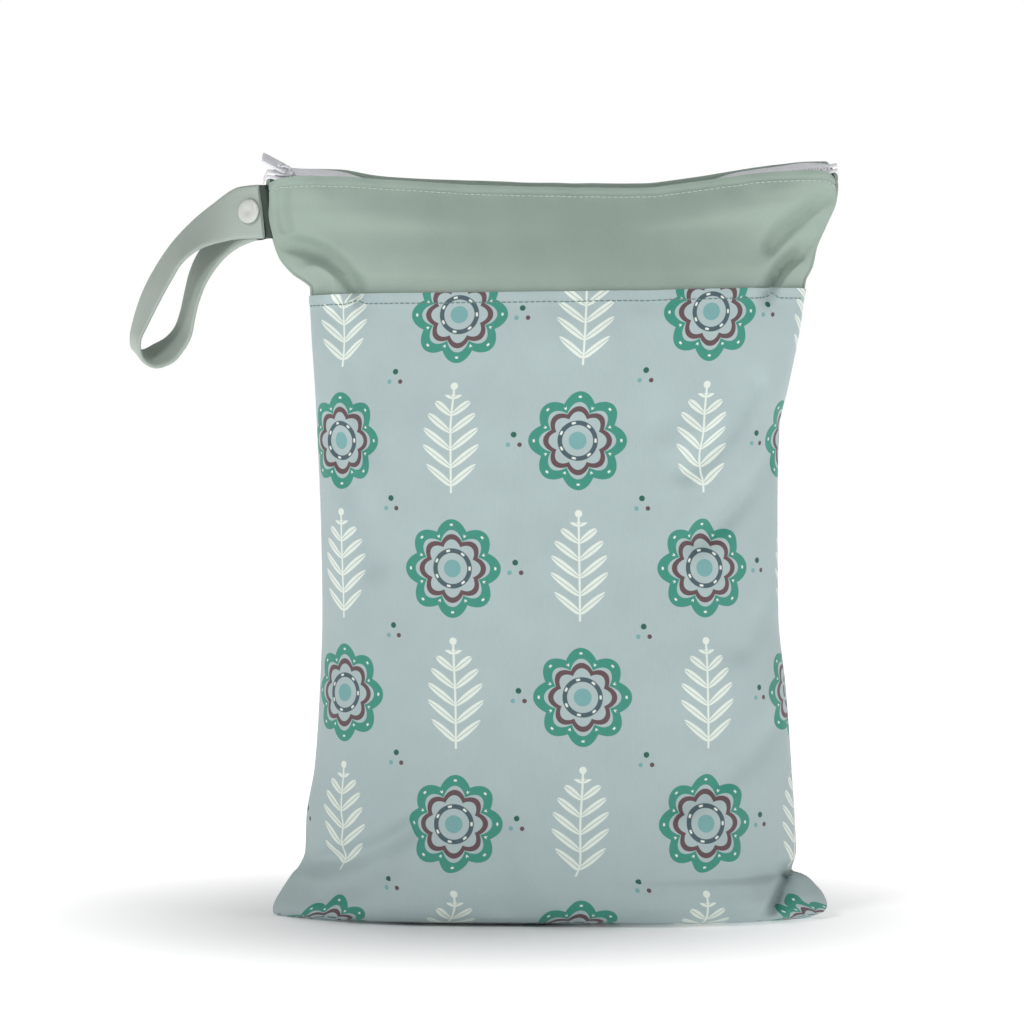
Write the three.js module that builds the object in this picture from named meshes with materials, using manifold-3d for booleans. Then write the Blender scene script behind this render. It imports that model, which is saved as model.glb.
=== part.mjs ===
// Waterproof fabric diaper bag: a hollow bag standing on its base, a pocket over its front,
// a zipper along its top edge and a strap loop closed by a snap. Millimetres, +Z up.
// The front faces -Y and the strap leaves the side seam at -X.
import * as THREE from "three";
import { mergeVertices } from "three/addons/utils/BufferGeometryUtils.js";
import Module from "manifold-3d";

const wasm = await Module();
wasm.setup();

// Driving dimensions
const bagWidth = 300;
const bagHeight = 400;
const bagDepth = 112;
const mouthSag = 14;
const seamTurn = 0.04;
const hemTilt = 4.5;
const shellWall = 1.5;
const pocketWall = 1.4;
const pocketHeight = 330;
const clearance = 0.3;
const tapeThickness = 1;
const tapeFlange = 7;
const tapeEndDrop = 4;
const tapeEndReach = 2;
const tapeEndWidth = 1.6;
const tapeEdge = 0.01;
const coilWidth = 3;
const coilHeight = 2;
const strapWidth = 28.5;
const strapThickness = 2.4;
const strapReach = 74;
const strapDrop = 96;
const strapBelowTop = 14.6;
const snapDiameter = 13;
const snapThickness = 2.2;
const snapSeat = 0.7;
const sliderLength = 9;
const sliderWidth = 8;
const sliderPlate = 1.2;
const sliderFromSide = 8.5;
const bridgeWidth = 1.8;
const bridgeBar = 1.2;
const bridgeSpan = 4;
const bridgeClear = 2.2;
const pullLength = 13.5;
const pullWidth = 8.5;
const pullThickness = 1.3;
const pullWindow = 4.6;
const pullLift = 25;

// Colours
const sage = 0x93a499;
const sageStrap = 0xa9b5aa;
const paleBlue = 0xa6b6b8;
const white = 0xe9eaec;

// Cross sections from the floor up. height is a share of the bag's height, left and right are
// shares of its width from the middle, front and back are shares of its depth. power squares
// the outline off, taper draws it to a point at the seams, fin is how flat the seam lies.
const sections = [
  { height: 0, left: -0.481, right: 0.443, front: 0.26, back: 0.26, power: 4, taper: 1, fin: 1 },
  { height: 0.0035, left: -0.49, right: 0.459, front: 0.36, back: 0.36, power: 4, taper: 1, fin: 1 },
  { height: 0.01, left: -0.491, right: 0.478, front: 0.43, back: 0.43, power: 4, taper: 1, fin: 1 },
  { height: 0.018, left: -0.488, right: 0.482, front: 0.462, back: 0.462, power: 4, taper: 1, fin: 1 },
  { height: 0.03, left: -0.479, right: 0.477, front: 0.485, back: 0.485, power: 3.9, taper: 1, fin: 1 },
  { height: 0.043, left: -0.468, right: 0.463, front: 0.495, back: 0.495, power: 3.7, taper: 1, fin: 1 },
  { height: 0.056, left: -0.456, right: 0.444, front: 0.5, back: 0.5, power: 3.6, taper: 0.95, fin: 0.9 },
  { height: 0.063, left: -0.447, right: 0.42, front: 0.503, back: 0.503, power: 3.5, taper: 0.9, fin: 0.8 },
  { height: 0.087, left: -0.434, right: 0.428, front: 0.51, back: 0.51, power: 3.2, taper: 0.8, fin: 0.6 },
  { height: 0.13, left: -0.432, right: 0.426, front: 0.52, back: 0.52, power: 2.8, taper: 0.7, fin: 0.3 },
  { height: 0.2, left: -0.417, right: 0.42, front: 0.53, back: 0.53, power: 2.5, taper: 0.6, fin: 0 },
  { height: 0.3, left: -0.408, right: 0.41, front: 0.53, back: 0.53, power: 2.3, taper: 0.55, fin: 0 },
  { height: 0.4, left: -0.4035, right: 0.3965, front: 0.51, back: 0.52, power: 2.3, taper: 0.55, fin: 0 },
  { height: 0.55, left: -0.407, right: 0.3947, front: 0.48, back: 0.5, power: 2.2, taper: 0.55, fin: 0 },
  { height: 0.64, left: -0.412, right: 0.397, front: 0.455, back: 0.48, power: 2.2, taper: 0.55, fin: 0 },
  { height: 0.7, left: -0.416, right: 0.414, front: 0.435, back: 0.45, power: 2.2, taper: 0.58, fin: 0 },
  { height: 0.78, left: -0.4225, right: 0.435, front: 0.4, back: 0.41, power: 2.2, taper: 0.65, fin: 0.1 },
  { height: 0.836, left: -0.4245, right: 0.444, front: 0.35, back: 0.36, power: 2.2, taper: 0.75, fin: 0.3 },
  { height: 0.8435, left: -0.4348, right: 0.449, front: 0.34, back: 0.35, power: 2.2, taper: 0.78, fin: 0.35 },
  { height: 0.855, left: -0.455, right: 0.456, front: 0.325, back: 0.33, power: 2.2, taper: 0.8, fin: 0.4 },
  { height: 0.88, left: -0.4796, right: 0.463, front: 0.28, back: 0.28, power: 2.3, taper: 0.9, fin: 0.6 },
  { height: 0.91, left: -0.4915, right: 0.4787, front: 0.22, back: 0.22, power: 2.6, taper: 1, fin: 0.8 },
  { height: 0.95, left: -0.5, right: 0.497, front: 0.145, back: 0.145, power: 6, taper: 1, fin: 1 },
  { height: 0.98, left: -0.5, right: 0.5, front: 0.1, back: 0.1, power: 10, taper: 0.7, fin: 1 },
  { height: 1, left: -0.4995, right: 0.4975, front: 0.08, back: 0.08, power: 12, taper: 0.6, fin: 1 },
];

// The mouth from side to side. across runs from -1 at the left seam to 1 at the right one,
// the three drops are shares of the mouth's sag below the bag's height, and roll is how far
// the zipper leans to the front, in degrees.
const mouth = [
  { across: -1, frontLip: 0.98, backLip: 0.85, zipper: 0.6, roll: 30 },
  { across: -0.94, frontLip: 0.8, backLip: 0.5, zipper: 0.66, roll: 34 },
  { across: -0.88, frontLip: 0.72, backLip: 0.42, zipper: 0.74, roll: 32 },
  { across: -0.75, frontLip: 0.735, backLip: 0.45, zipper: 0.8, roll: 26 },
  { across: -0.62, frontLip: 0.83, backLip: 0.68, zipper: 1.06, roll: 16 },
  { across: -0.5, frontLip: 0.905, backLip: 0.79, zipper: 1.15, roll: 10 },
  { across: -0.25, frontLip: 1.06, backLip: 0.885, zipper: 1.3, roll: 0 },
  { across: 0, frontLip: 1.13, backLip: 0.97, zipper: 1.4, roll: 0 },
  { across: 0.3, frontLip: 1.165, backLip: 1, zipper: 1.4, roll: 0 },
  { across: 0.5, frontLip: 0.94, backLip: 0.77, zipper: 1.15, roll: 8 },
  { across: 0.65, frontLip: 0.715, backLip: 0.51, zipper: 0.78, roll: 18 },
  { across: 0.8, frontLip: 0.565, backLip: 0.285, zipper: 0.635, roll: 26 },
  { across: 0.9, frontLip: 0.54, backLip: 0.19, zipper: 0.51, roll: 30 },
  { across: 0.96, frontLip: 0.57, backLip: 0.18, zipper: 0.47, roll: 30 },
  { across: 1, frontLip: 0.85, backLip: 0.7, zipper: 0.4, roll: 30 },
];

// Folds, as a valley or a ridge along a line on one side of the bag. The line runs from x1, z1
// to x2, z2 and bows sideways by bow, all in shares of the bag's width and height. spread and
// depth are shares of the bag's depth, and a negative depth is a ridge.
const folds = [
  { side: "front", x1: -0.475, z1: 0.885, x2: -0.36, z2: 0.83, bow: 0.02, spread: 0.05, depth: 0.05 },
  { side: "front", x1: -0.42, z1: 0.855, x2: -0.385, z2: 0.835, bow: 0.01, spread: 0.06, depth: -0.03 },
  { side: "front", x1: 0.5, z1: 0.955, x2: 0.4, z2: 0.89, bow: -0.01, spread: 0.05, depth: 0.04 },
  { side: "front", x1: 0.45, z1: 0.885, x2: 0.38, z2: 0.82, bow: -0.01, spread: 0.05, depth: 0.04 },
  { side: "front", x1: 0.35, z1: 0.7, x2: 0.24, z2: 0.59, bow: 0.01, spread: 0.09, depth: 0.035 },
  { side: "front", x1: 0.4, z1: 0.63, x2: 0.26, z2: 0.5, bow: 0.01, spread: 0.09, depth: 0.035 },
  { side: "front", x1: 0.41, z1: 0.27, x2: 0.24, z2: 0.17, bow: 0.01, spread: 0.1, depth: 0.03 },
  { side: "front", x1: -0.4, z1: 0.65, x2: -0.33, z2: 0.48, bow: 0.01, spread: 0.1, depth: 0.03 },
  { side: "front", x1: -0.42, z1: 0.085, x2: -0.26, z2: 0.12, bow: -0.01, spread: 0.08, depth: 0.04 },
  { side: "front", x1: 0.413, z1: 0.06, x2: 0.378, z2: 0.02, bow: 0, spread: 0.05, depth: 0.08 },
  { side: "front", x1: -0.11, z1: 0.13, x2: -0.09, z2: 0.02, bow: 0, spread: 0.14, depth: 0.05 },
  { side: "back", x1: -0.45, z1: 0.9, x2: -0.3, z2: 0.8, bow: -0.02, spread: 0.08, depth: 0.05 },
  { side: "back", x1: 0.46, z1: 0.9, x2: 0.3, z2: 0.78, bow: 0.02, spread: 0.08, depth: 0.05 },
  { side: "back", x1: -0.38, z1: 0.55, x2: -0.2, z2: 0.42, bow: 0.01, spread: 0.1, depth: 0.035 },
  { side: "back", x1: 0.38, z1: 0.33, x2: 0.18, z2: 0.22, bow: -0.01, spread: 0.1, depth: 0.035 },
];

// The strap from its free end round the loop to the seam. near and far are the band's two
// edges: their reach to the left of the seam and their drop are shares of the strap's reach
// and drop. depth is how far the band's middle lies behind the seam, in strap widths.
const strapStations = [
  { nearReach: 0.021, nearDrop: 0.295, farReach: 0.057, farDrop: 0, depth: -0.04 },
  { nearReach: 0.12, nearDrop: 0.295, farReach: 0.142, farDrop: 0.003, depth: 0.11 },
  { nearReach: 0.248, nearDrop: 0.301, farReach: 0.234, farDrop: 0.016, depth: 0.26 },
  { nearReach: 0.39, nearDrop: 0.328, farReach: 0.397, farDrop: 0.098, depth: 0.35 },
  { nearReach: 0.511, nearDrop: 0.366, farReach: 0.546, farDrop: 0.191, depth: 0.4 },
  { nearReach: 0.603, nearDrop: 0.426, farReach: 0.702, farDrop: 0.317, depth: 0.42 },
  { nearReach: 0.688, nearDrop: 0.525, farReach: 0.83, farDrop: 0.47, depth: 0.42 },
  { nearReach: 0.773, nearDrop: 0.645, farReach: 0.922, farDrop: 0.612, depth: 0.42 },
  { nearReach: 0.851, nearDrop: 0.765, farReach: 0.979, farDrop: 0.743, depth: 0.42 },
  { nearReach: 0.901, nearDrop: 0.863, farReach: 1, farDrop: 0.836, depth: 0.43 },
  { nearReach: 0.879, nearDrop: 0.956, farReach: 0.986, farDrop: 0.891, depth: 0.46 },
  { nearReach: 0.794, nearDrop: 1, farReach: 0.922, farDrop: 0.907, depth: 0.51 },
  { nearReach: 0.674, nearDrop: 0.973, farReach: 0.837, farDrop: 0.874, depth: 0.56 },
  { nearReach: 0.603, nearDrop: 0.907, farReach: 0.752, farDrop: 0.836, depth: 0.61 },
  { nearReach: 0.553, nearDrop: 0.831, farReach: 0.688, farDrop: 0.781, depth: 0.64 },
  { nearReach: 0.525, nearDrop: 0.738, farReach: 0.645, farDrop: 0.699, depth: 0.66 },
  { nearReach: 0.489, nearDrop: 0.634, farReach: 0.61, farDrop: 0.585, depth: 0.67 },
  { nearReach: 0.44, nearDrop: 0.536, farReach: 0.574, farDrop: 0.47, depth: 0.67 },
  { nearReach: 0.376, nearDrop: 0.459, farReach: 0.525, farDrop: 0.38, depth: 0.66 },
  { nearReach: 0.291, nearDrop: 0.388, farReach: 0.44, farDrop: 0.28, depth: 0.61 },
  { nearReach: 0.191, nearDrop: 0.339, farReach: 0.312, farDrop: 0.16, depth: 0.47 },
  { nearReach: 0.078, nearDrop: 0.306, farReach: 0.163, farDrop: 0.045, depth: 0.27 },
  { nearReach: 0.012, nearDrop: 0.297, farReach: 0.064, farDrop: 0.002, depth: 0.11 },
  { nearReach: -0.01, nearDrop: 0.295, farReach: 0.046, farDrop: 0, depth: 0.02 },
];

// Shares along the mouth: where the tapes' folded edges end and fade, where the coil ends and
// how far the tapes turn over past the seams. Shares along the strap: the two snap halves.
const flangeEnd = 0.93;
const flangeFade = 0.1;
const coilEnd = 0.985;
const tapeEndTurn = 1 / 40;
const snapFront = 0.035;
const snapBehind = 0.938;

// Mesh steps
const acrossSteps = 22;
const baseSteps = 3;
const lowerSteps = 20;
const upperSteps = 8;
const zipSteps = 40;
const strapSteps = 46;
const roundSides = 24;

// A smooth curve through the rows of a table that doesn't overshoot them.
function curveThrough(rows, key, column) {
  const at = rows.map((row) => row[key]);
  const value = rows.map((row) => row[column]);
  const slope = at.slice(1).map((a, i) => (value[i + 1] - value[i]) / (a - at[i]));
  const tangent = at.map((_, i) => {
    if (i === 0 || i === at.length - 1) return i === 0 ? slope[0] : slope[i - 1];
    const product = slope[i - 1] * slope[i];
    return product <= 0 ? 0 : (2 * product) / (slope[i - 1] + slope[i]);
  });
  return (x) => {
    const found = at.findIndex((a) => a > x);
    const i = found < 0 ? at.length - 2 : Math.max(0, found - 1);
    const span = at[i + 1] - at[i];
    const t = THREE.MathUtils.clamp((x - at[i]) / span, 0, 1);
    const bend = t * t * (3 - 2 * t);
    const enter = t * (1 - t) * (1 - t) * tangent[i];
    const leave = t * t * (t - 1) * tangent[i + 1];
    return value[i] + bend * (value[i + 1] - value[i]) + span * (enter + leave);
  };
}

const columns = ["left", "right", "front", "back", "power", "taper", "fin"];
const sectionAt = Object.fromEntries(
  columns.map((name) => [name, curveThrough(sections, "height", name)]),
);
const mouthAt = Object.fromEntries(
  ["frontLip", "backLip", "zipper", "roll"].map((name) => [name, curveThrough(mouth, "across", name)]),
);

// The seams lie in one upright plane, turned a little about the bag's middle.
const seamDepth = (x) => -seamTurn * x;
const shellStack = shellWall;
const frontStack = shellWall + clearance + pocketWall;
const mouthReach = 12;
const tiltReach = 6;
const foldFade = 0.03;

function foldDepth(side, x, z) {
  let sum = 0;
  for (const fold of folds.filter((one) => one.side === side)) {
    const start = new THREE.Vector2(fold.x1 * bagWidth, fold.z1 * bagHeight);
    const along = new THREE.Vector2(fold.x2 * bagWidth, fold.z2 * bagHeight).sub(start);
    const length = along.length();
    along.divideScalar(length);
    const from = new THREE.Vector2(x, z).sub(start);
    const t = from.dot(along) / length;
    const bow = fold.bow * bagWidth * 4 * t * (1 - t);
    const off = along.x * from.y - along.y * from.x - bow;
    const spread = fold.spread * bagDepth;
    const past = Math.max(0, -t, t - 1) * length;
    sum += fold.depth * bagDepth * Math.exp(-(off * off + past * past) / (spread * spread));
  }
  return sum * THREE.MathUtils.smoothstep(z / bagHeight, 0, foldFade);
}

// A point of the bag's outermost surface. across runs from seam to seam, height is a share of
// the bag's height, and under runs from the bottom seam, 0, to the base's edge, 1.
function skinPoint(side, across, height, under) {
  const row = Object.fromEntries(columns.map((name) => [name, sectionAt[name](height)]));
  const s = Math.sin((across * Math.PI) / 2);
  const x = bagWidth * (row.left + ((row.right - row.left) * (s + 1)) / 2);
  const lip = mouthAt[side + "Lip"](s) * mouthSag;
  const level = Math.pow(height, tiltReach);
  const tilt = (hemTilt * 4 * level * (1 - level) * x) / bagWidth;
  const z = bagHeight * height - lip * Math.pow(height, mouthReach) + tilt;
  const shape = Math.pow(Math.max(0, 1 - Math.pow(Math.abs(s), row.power)), row.taper);
  const stack = side === "front" ? frontStack : shellStack;
  const edge = Math.min(1, 4 * (1 - Math.abs(s)));
  const fold = under < 1 ? 0 : edge * foldDepth(side, x, z);
  const bulge = Math.max(0, bagDepth * row[side] * shape - fold);
  const depth = clearance / 2 + under * (row.fin * stack + bulge);
  const out = side === "front" ? -1 : 1;
  return new THREE.Vector3(x, seamDepth(x) + out * depth, z);
}

const acrossList = Array.from({ length: acrossSteps + 1 }, (_, i) => (2 * i) / acrossSteps - 1);
const hem = pocketHeight / bagHeight;
const lowerShare = (i) => 1 - Math.cos((Math.PI / 2) * (i / lowerSteps));
const rings = [
  ...Array.from({ length: baseSteps }, (_, i) => ({ height: 0, under: i / baseSteps })),
  ...Array.from({ length: lowerSteps + 1 }, (_, i) => ({ height: hem * lowerShare(i), under: 1 })),
  ...Array.from({ length: upperSteps }, (_, i) => ({
    height: hem + ((1 - hem) * (i + 1)) / upperSteps,
    under: 1,
  })),
];
const hemRing = baseSteps + lowerSteps;

// Unit vectors into the bag at each point of a grid, from its neighbours.
function inwardNormals(grid, side) {
  const last = grid.length - 1;
  const end = grid[0].length - 1;
  return grid.map((row, j) =>
    row.map((_, i) => {
      const acrossway = grid[j][Math.min(end, i + 1)].clone().sub(grid[j][Math.max(0, i - 1)]);
      const upway = grid[Math.min(last, j + 1)][i].clone().sub(grid[Math.max(0, j - 1)][i]);
      const normal = upway.cross(acrossway).normalize();
      return side === "front" ? normal : normal.negate();
    }),
  );
}

// A layer of the bag: the skin moved inwards by depth and kept on its own side of the seams.
function layer(side, depth) {
  const skin = rings.map((ring) =>
    acrossList.map((across) => skinPoint(side, across, ring.height, ring.under)),
  );
  const inward = inwardNormals(skin, side);
  const stack = side === "front" ? frontStack : shellStack;
  const out = side === "front" ? -1 : 1;
  return skin.map((row, j) => {
    const fin = sectionAt.fin(rings[j].height) * rings[j].under;
    const keep = clearance / 2 + fin * (stack - depth);
    return row.map((point, i) => {
      const moved = point.clone().addScaledVector(inward[j][i], depth);
      moved.z = Math.max(moved.z, rings[j].under < 1 ? depth : 0);
      const beyond = out * (moved.y - seamDepth(moved.x));
      if (beyond < keep) moved.y = seamDepth(moved.x) + out * keep;
      return moved;
    });
  });
}

// A closed body from two grids of points, the first of which faces out.
function wallBetween(outer, inner, flip) {
  const positions = [];
  const put = (a, b, c) => {
    const order = flip ? [a, c, b] : [a, b, c];
    order.forEach((p) => positions.push(p.x, p.y, p.z));
  };
  const quad = (a, b, c, d) => {
    put(a, b, c);
    put(a, c, d);
  };
  const last = outer.length - 1;
  const end = outer[0].length - 1;
  for (let j = 0; j < last; j++) {
    for (let i = 0; i < end; i++) {
      quad(outer[j][i], outer[j][i + 1], outer[j + 1][i + 1], outer[j + 1][i]);
      quad(inner[j][i], inner[j + 1][i], inner[j + 1][i + 1], inner[j][i + 1]);
    }
    quad(outer[j][0], outer[j + 1][0], inner[j + 1][0], inner[j][0]);
    quad(outer[j][end], inner[j][end], inner[j + 1][end], outer[j + 1][end]);
  }
  for (let i = 0; i < end; i++) {
    quad(outer[0][i], inner[0][i], inner[0][i + 1], outer[0][i + 1]);
    quad(outer[last][i], outer[last][i + 1], inner[last][i + 1], inner[last][i]);
  }
  return geometryFrom(positions);
}

function geometryFrom(positions) {
  const geometry = new THREE.BufferGeometry();
  geometry.setAttribute("position", new THREE.Float32BufferAttribute(positions, 3));
  geometry.computeVertexNormals();
  return geometry;
}

// A closed body through rings of points, with a flat cap at each end.
function loftBody(sectionRings) {
  const positions = [];
  const put = (...points) => points.forEach((p) => positions.push(p.x, p.y, p.z));
  const count = sectionRings[0].length;
  for (let j = 0; j < sectionRings.length - 1; j++) {
    for (let i = 0; i < count; i++) {
      const k = (i + 1) % count;
      put(sectionRings[j][i], sectionRings[j][k], sectionRings[j + 1][k]);
      put(sectionRings[j][i], sectionRings[j + 1][k], sectionRings[j + 1][i]);
    }
  }
  const first = sectionRings[0];
  const final = sectionRings[sectionRings.length - 1];
  for (const [a, b, c] of THREE.ShapeUtils.triangulateShape(capOutline(first), [])) {
    put(first[c], first[b], first[a]);
    put(final[a], final[b], final[c]);
  }
  return geometryFrom(positions);
}

// A ring's points in its own plane, running anticlockwise.
function capOutline(ring) {
  const along = ring[1].clone().sub(ring[0]).normalize();
  const middle = ring.reduce((sum, p) => sum.add(p), new THREE.Vector3()).divideScalar(ring.length);
  const normal = new THREE.Vector3();
  ring.forEach((p, i) => {
    const next = ring[(i + 1) % ring.length];
    normal.add(p.clone().sub(middle).cross(next.clone().sub(middle)));
  });
  const up = normal.normalize().cross(along);
  return ring.map((p) => new THREE.Vector2(p.dot(along), p.dot(up)));
}

function solidOf(geometry) {
  const bare = geometry.clone();
  bare.deleteAttribute("normal");
  bare.deleteAttribute("uv");
  const merged = mergeVertices(bare, 1e-4);
  return new wasm.Manifold(
    new wasm.Mesh({
      numProp: 3,
      vertProperties: merged.attributes.position.array,
      triVerts: new Uint32Array(merged.index.array),
    }),
  );
}

function geometryOf(solid) {
  const made = solid.getMesh();
  const geometry = new THREE.BufferGeometry();
  geometry.setAttribute("position", new THREE.BufferAttribute(made.vertProperties, 3));
  geometry.setIndex(new THREE.BufferAttribute(made.triVerts, 1));
  geometry.computeVertexNormals();
  return geometry;
}

function block(x0, x1, y0, y1, z0, z1) {
  const box = new THREE.BoxGeometry(x1 - x0, y1 - y0, z1 - z0);
  return solidOf(box.translate((x0 + x1) / 2, (y0 + y1) / 2, (z0 + z1) / 2));
}

function piece(name, geometry, color, roughness) {
  const material = new THREE.MeshStandardMaterial({ color, roughness, metalness: 0 });
  const mesh = new THREE.Mesh(geometry, material);
  mesh.name = name;
  return mesh;
}

// Shell and pocket
function backPanel() {
  return piece("back_panel", wallBetween(layer("back", 0), layer("back", shellWall), true), sage, 0.75);
}

function frontPanel() {
  const outer = layer("front", pocketWall + clearance);
  return piece("front_panel", wallBetween(outer, layer("front", frontStack), false), sage, 0.75);
}

function pocketPanel() {
  const upToHem = (grid) => grid.slice(0, hemRing + 1);
  const outer = upToHem(layer("front", 0));
  const inner = upToHem(layer("front", pocketWall));
  return piece("pocket_panel", wallBetween(outer, inner, false), paleBlue, 0.7);
}

// Zipper: two tapes folded down inside the lips, and the coil between them
const coilGap = coilWidth / 2 + clearance;
const topSection = sections[sections.length - 1];

function zipCentre(across) {
  const inner = THREE.MathUtils.clamp(across, -1, 1);
  const past = Math.abs(across - inner) / tapeEndTurn;
  const x = bagWidth * (topSection.left + ((topSection.right - topSection.left) * (inner + 1)) / 2);
  const lift = bagHeight - mouthSag * mouthAt.zipper(inner);
  const end = Math.sign(across) * past;
  return new THREE.Vector3(x + end * tapeEndReach, seamDepth(x), lift - past * tapeEndDrop);
}

const zipLean = (across) =>
  Math.tan(THREE.MathUtils.degToRad(mouthAt.roll(THREE.MathUtils.clamp(across, -1, 1))));

// Half the free width of the mouth between the two lips
function mouthHalf(across) {
  const s = Math.min(1, Math.abs(across));
  return bagDepth * topSection.front * Math.pow(1 - Math.pow(s, topSection.power), topSection.taper);
}

function zipRing(across, outline) {
  const centre = zipCentre(across);
  const lean = zipLean(across);
  return outline.map(([a, b]) => new THREE.Vector3(centre.x, centre.y + a, centre.z + b + a * lean));
}

function zipBody(outlineAt, from, to) {
  const rows = Array.from({ length: zipSteps + 1 }, (_, i) => {
    const across = from + ((to - from) * i) / zipSteps;
    return zipRing(across, outlineAt(across));
  });
  return loftBody(rows);
}

function zipTape(name, out) {
  const outlineAt = (across) => {
    const reach = Math.max(coilGap + tapeEndWidth, mouthHalf(across) - clearance);
    const fade = THREE.MathUtils.clamp((flangeEnd - Math.abs(across)) / flangeFade, 0, 1);
    const foot = tapeThickness + tapeEdge + tapeFlange * fade;
    const rim = reach - tapeThickness;
    const half = [
      [coilGap, 0],
      [reach, 0],
      [reach, -foot],
      [rim, -foot],
      [rim, -tapeThickness],
      [coilGap, -tapeThickness],
    ];
    const placed = half.map(([a, b]) => [out * a, b]);
    return out < 0 ? placed : placed.reverse();
  };
  return piece(name, zipBody(outlineAt, -1 - tapeEndTurn, 1 + tapeEndTurn), white, 0.6);
}

function zipCoil() {
  const half = coilWidth / 2;
  const low = -(coilHeight + tapeThickness) / 2;
  const outlineAt = () => [
    [-half, low],
    [half, low],
    [half, low + coilHeight],
    [-half, low + coilHeight],
  ];
  const start = (sliderAt() - sliderLength / 4 - zipCentre(0).x) / (bagWidth / 2);
  return piece("zip_coil", zipBody(outlineAt, start, coilEnd), white, 0.5);
}

const sliderAt = () => bagWidth * topSection.left + sliderFromSide;
const headAhead = 0.02;
const footShare = 0.6;

// Slider, and the pull tab hinged under its bridge
function zipHead() {
  const across = (sliderAt() - zipCentre(0).x) / (bagWidth / 2);
  const centre = zipCentre(across);
  const ahead = zipCentre(across + headAhead);
  const half = sliderLength / 2;
  const coilTop = (coilHeight - tapeThickness) / 2;
  const plateLow = coilTop + 2 * clearance;
  const plateTop = plateLow + sliderPlate;
  const footTop = -coilTop - tapeThickness - clearance;
  const legOut = bridgeSpan / 2 + bridgeBar;
  const archTop = plateTop + bridgeClear + bridgeBar;
  const bridgeHalf = bridgeWidth / 2;
  const post = coilGap - 2 * clearance;
  const footHalf = sliderWidth / 4;
  const slider = block(-half, half, -sliderWidth / 2, sliderWidth / 2, plateLow, plateTop)
    .add(block(-half, half * footShare, -footHalf, footHalf, footTop - sliderPlate, footTop))
    .add(block(-half, -half + sliderPlate, -post, post, footTop - sliderPlate, plateTop))
    .add(block(-legOut, legOut, -bridgeHalf, bridgeHalf, plateTop - bridgeBar / 2, archTop))
    .subtract(
      block(-bridgeSpan / 2, bridgeSpan / 2, -sliderWidth, sliderWidth, plateTop, archTop - bridgeBar),
    );
  const head = new THREE.Group();
  head.position.copy(centre);
  head.rotation.set(Math.atan(zipLean(across)), -Math.atan2(ahead.z - centre.z, ahead.x - centre.x), 0);
  head.add(piece("zip_slider", geometryOf(slider), white, 0.35));

  const barHalf = pullThickness / 2;
  const windowHalf = bridgeHalf + 2 * clearance;
  const pull = block(-pullLength, barHalf, -pullWidth / 2, pullWidth / 2, -barHalf, barHalf).subtract(
    block(-pullWindow, -barHalf, -windowHalf, windowHalf, -pullThickness, pullThickness),
  );
  const tab = piece("zip_pull", geometryOf(pull), white, 0.35);
  const hinge = new THREE.Group();
  hinge.position.z = plateTop + bridgeClear / 2;
  hinge.rotation.y = THREE.MathUtils.degToRad(pullLift);
  hinge.add(tab);
  head.add(hinge);
  return head;
}

// Strap: a band between two edge curves, from its free end round the loop to the seam
const strapSeam = -bagWidth / 2;
const strapTop = bagHeight - strapBelowTop;
const strapCurves = (() => {
  const edges = strapStations.map((row) => {
    const near = [strapSeam - row.nearReach * strapReach, strapTop - row.nearDrop * strapDrop];
    const far = [strapSeam - row.farReach * strapReach, strapTop - row.farDrop * strapDrop];
    const seen = Math.hypot(far[0] - near[0], far[1] - near[1]);
    const deep = Math.sqrt(Math.max(0, strapWidth * strapWidth - seen * seen)) / 2;
    const y = seamDepth(strapSeam) + row.depth * strapWidth;
    return {
      near: new THREE.Vector3(near[0], y - deep, near[1]),
      far: new THREE.Vector3(far[0], y + deep, far[1]),
    };
  });
  return {
    near: new THREE.CatmullRomCurve3(edges.map((edge) => edge.near)),
    far: new THREE.CatmullRomCurve3(edges.map((edge) => edge.far)),
  };
})();

// The band's middle and directions at a share of its stations
function strapFrame(share) {
  const step = 0.002;
  const middleAt = (t) => strapCurves.near.getPoint(t).add(strapCurves.far.getPoint(t)).divideScalar(2);
  const before = Math.max(0, share - step);
  const after = Math.min(1, share + step);
  const along = middleAt(after).sub(middleAt(before)).normalize();
  const wide = strapCurves.far.getPoint(share).sub(strapCurves.near.getPoint(share)).normalize();
  const face = along.clone().cross(wide).normalize();
  return { middle: middleAt(share), wide, face };
}

function strap() {
  const rows = Array.from({ length: strapSteps + 1 }, (_, i) => {
    const { middle, wide, face } = strapFrame(i / strapSteps);
    const corner = (across, out) =>
      middle
        .clone()
        .addScaledVector(wide, (across * strapWidth) / 2)
        .addScaledVector(face, (out * strapThickness) / 2);
    return [corner(-1, -1), corner(1, -1), corner(1, 1), corner(-1, 1)];
  });
  return piece("strap", loftBody(rows), sageStrap, 0.75);
}

// Snap: a domed cap on the free end's outer face and a plain disc behind the fixed strand
function snapDisc(name, share, out, color) {
  const radius = snapDiameter / 2;
  const rim = snapThickness / 3;
  const profile = [
    new THREE.Vector2(0, 0),
    new THREE.Vector2(radius, 0),
    new THREE.Vector2(radius, rim),
    new THREE.Vector2(radius * 0.9, 2 * rim),
    new THREE.Vector2(radius * 0.6, snapThickness),
    new THREE.Vector2(0, snapThickness),
  ];
  const disc = piece(name, new THREE.LatheGeometry(profile, roundSides), color, 0.3);
  const { middle, face } = strapFrame(share);
  const seat = strapThickness / 2 + snapSeat;
  disc.position.copy(middle).addScaledVector(face, out * seat);
  disc.quaternion.setFromUnitVectors(new THREE.Vector3(0, 1, 0), face.clone().multiplyScalar(out));
  return disc;
}

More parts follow.
